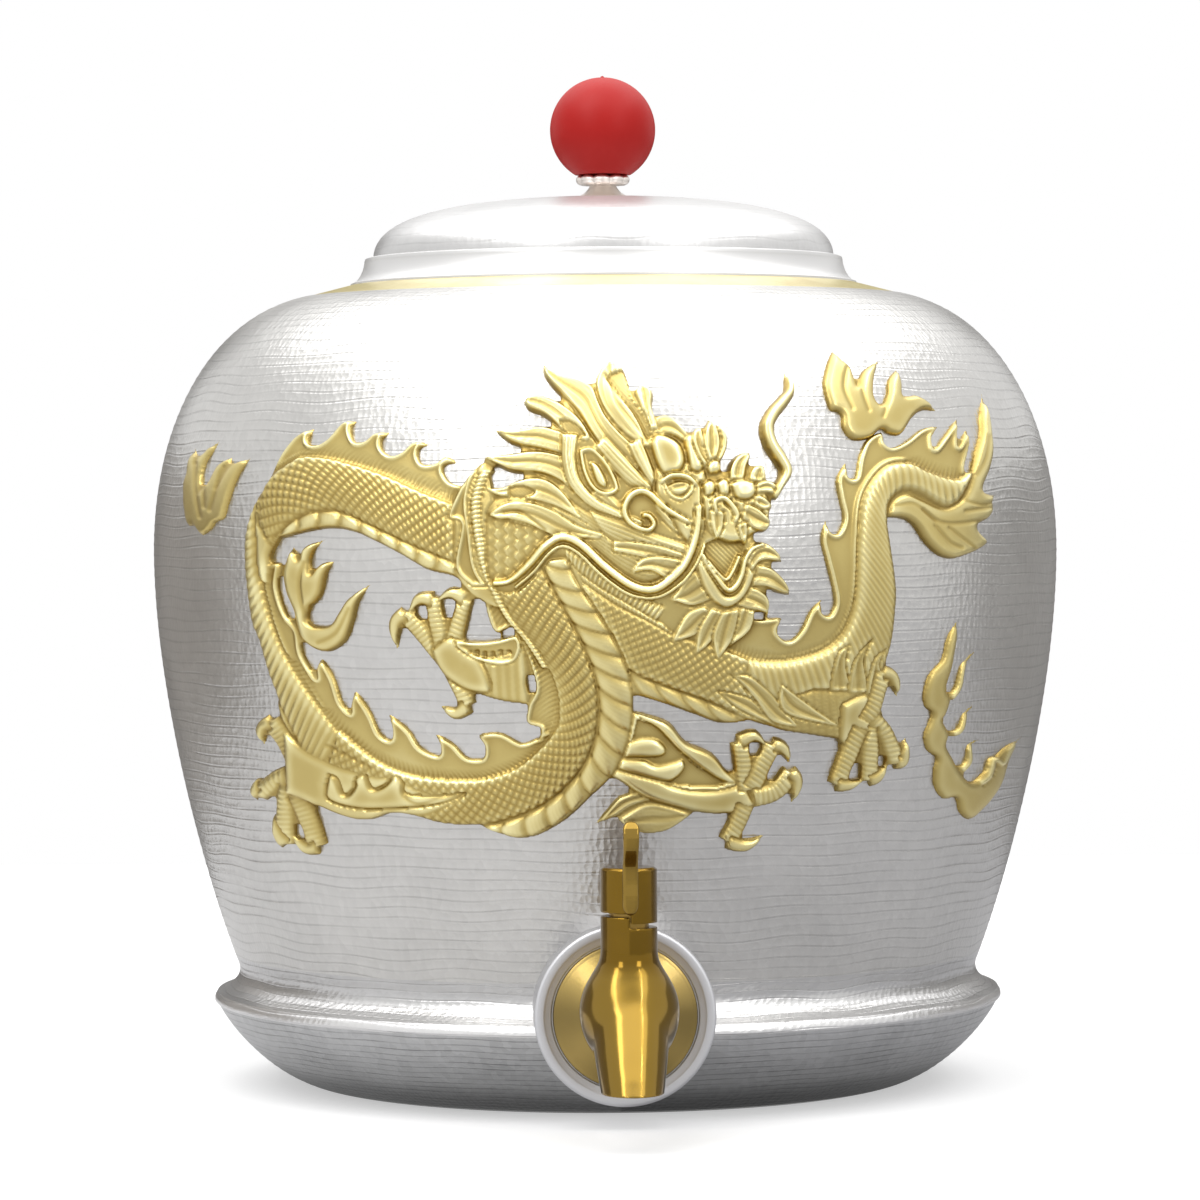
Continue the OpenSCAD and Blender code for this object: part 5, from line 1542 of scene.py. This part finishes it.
# %% Face, jaw and snout
# strap, loop and strands beside the face
dragon.cord("571,436 570,462 576,484 592,502 614,514 642,524", (9, 8, 7, 6, 5, 3), 3.2, strands(4), 4)
dragon.cord("600,444 616,462 634,480 654,494", (9, 10, 9, 4), 3.1, strands(5), 4)
dragon.cord("634,444 642,462 650,478 658,490", (8, 8, 6, 3), 3.3, strands(3), 4)
dragon.plate("579,452 592,449 605,460 615,476 619,492 606,498 592,491 583,474 579,452", 3.3, rimmed, 3)
dragon.plate("589,462 599,466 608,482 606,490 596,484 589,462", 3.2, tongue, 4)
dragon.band("588,510 620,520 655,534 692,546", "602,534 622,547 655,560 688,568", 2.9, strands(6), 4)
dragon.band("612,541 630,541 660,546 690,556", "612,553 626,555 650,561 684,570", 3.1, leafy, 3)
dragon.band("630,573 640,559 660,556 690,562", "630,573 650,572 664,579 680,576", 3.2, leafy, 3)
dragon.band("650,488 668,502 694,516", "655,514 670,530 690,546", 3.0, strands(5), 3)
# face and forehead
dragon.plate(
    "654,472 662,456 690,450 704,470 708,500 704,530 694,550 680,538 668,518 654,498 654,472",
    3.1, tongue, 10)
dragon.plate("649,447 655,437 668,439 680,448 685,464 677,477 662,477 654,464 649,447", 3.9, tongue, 9)
dragon.plate("682,442 690,437 701,448 706,462 699,475 688,473 684,458 682,442", 3.8, tongue, 8)
BROW_TUFTS = (
    ("706,474 696,462 690,446 692,434 699,429", "714,470 708,456 703,442 699,429"),
    ("714,470 723,458 727,444 722,432 716,427", "708,466 712,452 712,440 716,427"),
    ("706,464 701,448 703,432 709,420", "714,464 719,448 716,432 709,420"))
leaves(BROW_TUFTS, 3.8)
dragon.plate("703,470 710,462 718,464 719,474 708,477 703,470", 3.7, tongue, 4)
# chin, jaw and beard
BEARD = (
    ("668,600 682,581 694,570", "668,600 690,607 710,600"),
    ("700,606 686,612 676,626 669,642", "714,612 702,630 688,638 669,642"),
    ("708,608 695,630 692,656", "724,612 711,640 692,656"),
    ("734,610 725,632 727,646", "754,602 748,630 727,646"),
    ("718,612 709,636 714,661", "738,608 730,640 714,661"),
    ("744,586 757,590 767,600 766,616", "732,606 744,610 756,612 766,616"),
    ("750,564 768,568 782,580 790,597", "748,588 762,588 776,594 790,597"))
leaves(BEARD, 3.0)
dragon.plate(
    "692,564 700,558 714,580 724,594 736,588 744,564 754,554 753,575 742,598 726,609 712,604 700,588 "
    "692,564",
    3.1, tongue, 5)
dragon.plate(
    "700,548 716,540 740,544 742,556 732,575 724,582 712,572 700,548",
    1.9, rungs(5, 0.25, 0.6), 3)
dragon.band(
    "742,562 750,548 762,543 774,551 782,563",
    "749,574 756,564 764,562 774,563 782,563",
    3.2, leafy, 4)
dragon.cord(
    "698,553 712,574 723,589 731,588 738,576 742,560 750,549 762,545",
    (3, 4, 4, 4, 3.5, 3, 2), 3.6, rod, 3)
dragon.cord("705,560 716,574 724,580 731,570 737,556", (2, 2.4, 2.4, 2), 3.1, rod, 2)
# snout
dragon.plate(
    "698,484 712,482 724,480 744,483 757,488 766,500 768,516 764,530 750,536 742,542 728,544 716,540 "
    "706,532 700,510 698,484",
    3.2, tongue, 6)
NOSE_LUMPS = (
    ("699,486 708,481 715,488 711,498 702,498 699,486", 3.9),
    ("712,486 720,480 729,486 727,498 718,502 712,486", 4.0),
    ("725,486 736,481 750,483 755,494 746,503 732,501 725,486", 4.0))
for lump, rise in NOSE_LUMPS:
    dragon.plate(lump, rise, tongue, 7)
SNOUT_CURLS = (
    ("726,483 728,466 738,456 751,454", "742,483 744,470 748,462 751,454"),
    ("744,484 748,472 756,467 765,468", "763,487 764,478 762,472 765,468"),
    ("752,486 764,482 774,488 777,498", "752,497 762,496 770,497 777,498"),
    ("750,497 760,498 771,509", "750,508 760,513 771,509"),
    ("742,504 756,510 769,523", "737,520 750,531 764,533 769,523"),
    ("732,526 736,538 742,546", "745,522 745,536 742,546"),
    ("706,511 708,528 714,542", "723,513 721,530 714,542"))
leaves(SNOUT_CURLS, 3.6)
dragon.cord("714,514 712,504 720,500 728,506 734,516 731,524", (3, 4, 4, 4, 3), 3.9, rod, 3)
# eye
dragon.plate("664,487 676,482 690,484 688,494 678,500 668,496 664,487", 3.5, tongue, 5)
dragon.cord("664,487 669,497 680,501 689,494 691,484", (1.6, 2.2, 2.2, 1.6), 3.9, rod, 2)
dragon.cord("659,485 671,478 686,480 695,488", (2.5, 4, 4, 2.5), 4.0, rod, 3)
dragon.scratch("672,490 682,488", 2.2, 0.7)
print("face, jaw and snout drawn")

# %% [markdown]
# The whiskers and the spiral on the cheek lie over everything else. They are round cords that grow thin
# towards their ends, and the long one is made of two strands.

# %% Whiskers
dragon.cord(
    "772,500 778,488 785,474 780,462 770,446 766,430 772,416 782,404 789,393 785,375",
    (4, 5, 6.5, 7, 7, 7, 7, 6.5, 5, 0.8), 3.0, rod, 4)
dragon.cord(
    "688,524 666,511 646,494 632,496 624,510 630,524 646,531 653,525 648,517 641,516",
    (3.5, 4, 4.4, 4.4, 4.4, 4, 3.5, 3), 3.7, rod, 3)
dragon.cord(
    "703,545 692,568 677,585 655,597 629,594 603,576 579,553 563,546 549,554 535,571 516,587",
    (2, 2.4, 2.4, 2.4, 2.4, 2), 3.2, rod, 2)
dragon.cord(
    "697,506 694,535 684,562 670,578 652,589 631,585 606,567 581,544 563,537 546,546 530,564 511,580 "
    "494,582",
    (4.6, 5, 5, 5, 5, 5, 4.4, 3), 3.6, two_strands, 3)
print("whiskers drawn")

# %% [markdown]
# A finished sheet is cleaned up first. Hairline gaps between forms are closed, the outer edge is rounded
# down, and a number for wear and painted light is worked out: what stands above its surroundings is rubbed
# bright and takes a painted highlight, and what lies below takes painted shade.

# %% Clean the sheets
TINY = 1e-6
EDGE_FROM, EDGE_RUN, SOFTEN = 0.42, 0.55, 0.6
WEAR_LIGHT_MID, WEAR_LIGHT_SPAN, WEAR_LIGHT_LEAST = 0.59, 1.05, 0.08
GAP_SHARE, GAP_DEPTH = 0.8, 0.5


def cleaned(sheet):
    """Which places the sheet covers, how deep they lie in it, how high they stand, and their wear with
    painted light and shade.
    """
    drawn = (sheet.inside > 0).astype(float)
    grown = (blurred(drawn, 2, 1) > TINY).astype(float)
    used = (blurred(grown, 2, 1) > 1 - TINY) | (drawn > 0)
    near = blurred(sheet.height * drawn, 3, 1) / np.maximum(blurred(drawn, 3, 1), TINY)
    raised = np.where(drawn > 0, sheet.height, GAP_SHARE * near) * used
    inside = np.where(used & (drawn == 0), GAP_DEPTH, sheet.inside)
    mask = used.astype(float)
    height = raised * shoulder((blurred(mask, 3) - EDGE_FROM) / EDGE_RUN)
    height = (1 - SOFTEN) * height + SOFTEN * blurred(height, 1, 1)
    level = blurred(raised, 4) / np.maximum(blurred(mask, 4), TINY)
    # painted light: what stands above its surroundings is rubbed bright and lit, what lies below gets painted
    # shade, and patina darkens the scales' net
    worn = np.clip(WEAR_LIGHT_MID + (raised - level) / WEAR_LIGHT_SPAN - blurred(sheet.patina, 2), WEAR_LIGHT_LEAST, 1)
    return used, inside, height, 0.5 * worn + 0.5 * blurred(worn, 1, 1)


print("cleaning ready")

# %% [markdown]
# The sheets are laid on the belly. Each place of the sheet is carried along the line of sight on to the
# vessel, so the drawing looks from the front as it was drawn, and is then lifted along the vessel's own
# normal. The drawing stands DRAWN_AT mm before the urn's axis, and its place (PLUMB, HALF_WAY) is on the
# middle line, DRAWING_H mm up. A shrinkwrap modifier would do the first half only, and would need a target
# mesh without dents.

# %% Lay the sheets on the belly
PLUMB, HALF_WAY, UNIT, DRAWING_H, DRAWN_AT, EYE_MM = 605, 600, 0.25, 136, 137, EYE_REACH / MM
SIGHT_ROUNDS, FIRST_GUESS, SUNK_EDGE, LONGEST_PULL = 14, -100.0, 0.3, 1.5
belly_slope = np.gradient(vessel_r[:, 0], vessel_r[:, 1])


def on_the_belly(u, v):
    """Where the lines of sight through the drawing meet the vessel, and which way its surface faces there."""
    eye_h = EYE_H / MM
    y = np.full(u.shape, FIRST_GUESS)
    for _ in range(SIGHT_ROUNDS):
        near = (EYE_MM + y) / (EYE_MM - DRAWN_AT)
        x, z = u * near, eye_h + (DRAWING_H + v - eye_h) * near
        r = np.interp(z, vessel_r[:, 1], vessel_r[:, 0])
        y = 0.5 * (y - np.sqrt(np.maximum(r * r - x * x, 1)))
    slope = np.interp(z, vessel_r[:, 1], belly_slope)
    out = np.dstack([x / r, y / r, -slope]) / np.sqrt(1 + slope**2)[..., None]
    return np.dstack([x, y, z]), out


def laid_on(sheet, name, stands_for):
    """A mesh of the cells that touch the drawing, with their outer corners pulled on to its outline."""
    used, inside, height, worn = cleaned(sheet)
    gy, gx = np.gradient(inside, STEP)
    pull = np.where(used, 0, np.clip(-inside, 0, LONGEST_PULL) / (gx**2 + gy**2 + TINY))
    at, out = on_the_belly((sheet.x + pull * gx - PLUMB) * UNIT, (HALF_WAY - sheet.y - pull * gy) * UNIT)
    x, y, z = np.moveaxis(at + out * np.where(used, height, -SUNK_EDGE)[..., None], 2, 0)
    c, s = math.cos(EYE_TURN), math.sin(EYE_TURN)
    points = np.dstack([c * x - s * y, s * x + c * y, z])
    cell = used[:-1, :-1] | used[1:, :-1] | used[:-1, 1:] | used[1:, 1:]
    corner = np.zeros(used.shape, bool)
    for down in (0, 1):
        for right in (0, 1):
            corner[down:down + cell.shape[0], right:right + cell.shape[1]] |= cell
    index = np.full(used.shape, -1)
    index[corner] = np.arange(corner.sum())
    ring = (index[:-1, :-1], index[1:, :-1], index[1:, 1:], index[:-1, 1:])
    faces = np.column_stack([corners[cell] for corners in ring])
    piece = skin(name, points[corner], faces.tolist(), relief_gilt, "vessel", stands_for, crisp=180)
    carry(piece, "worn", worn[corner])
    print("   highest place", round(float(height.max()), 2), "mm")


laid_on(flames, "loose_flames", ["flames"])
laid_on(dragon, "dragon_relief", ["dragon"])
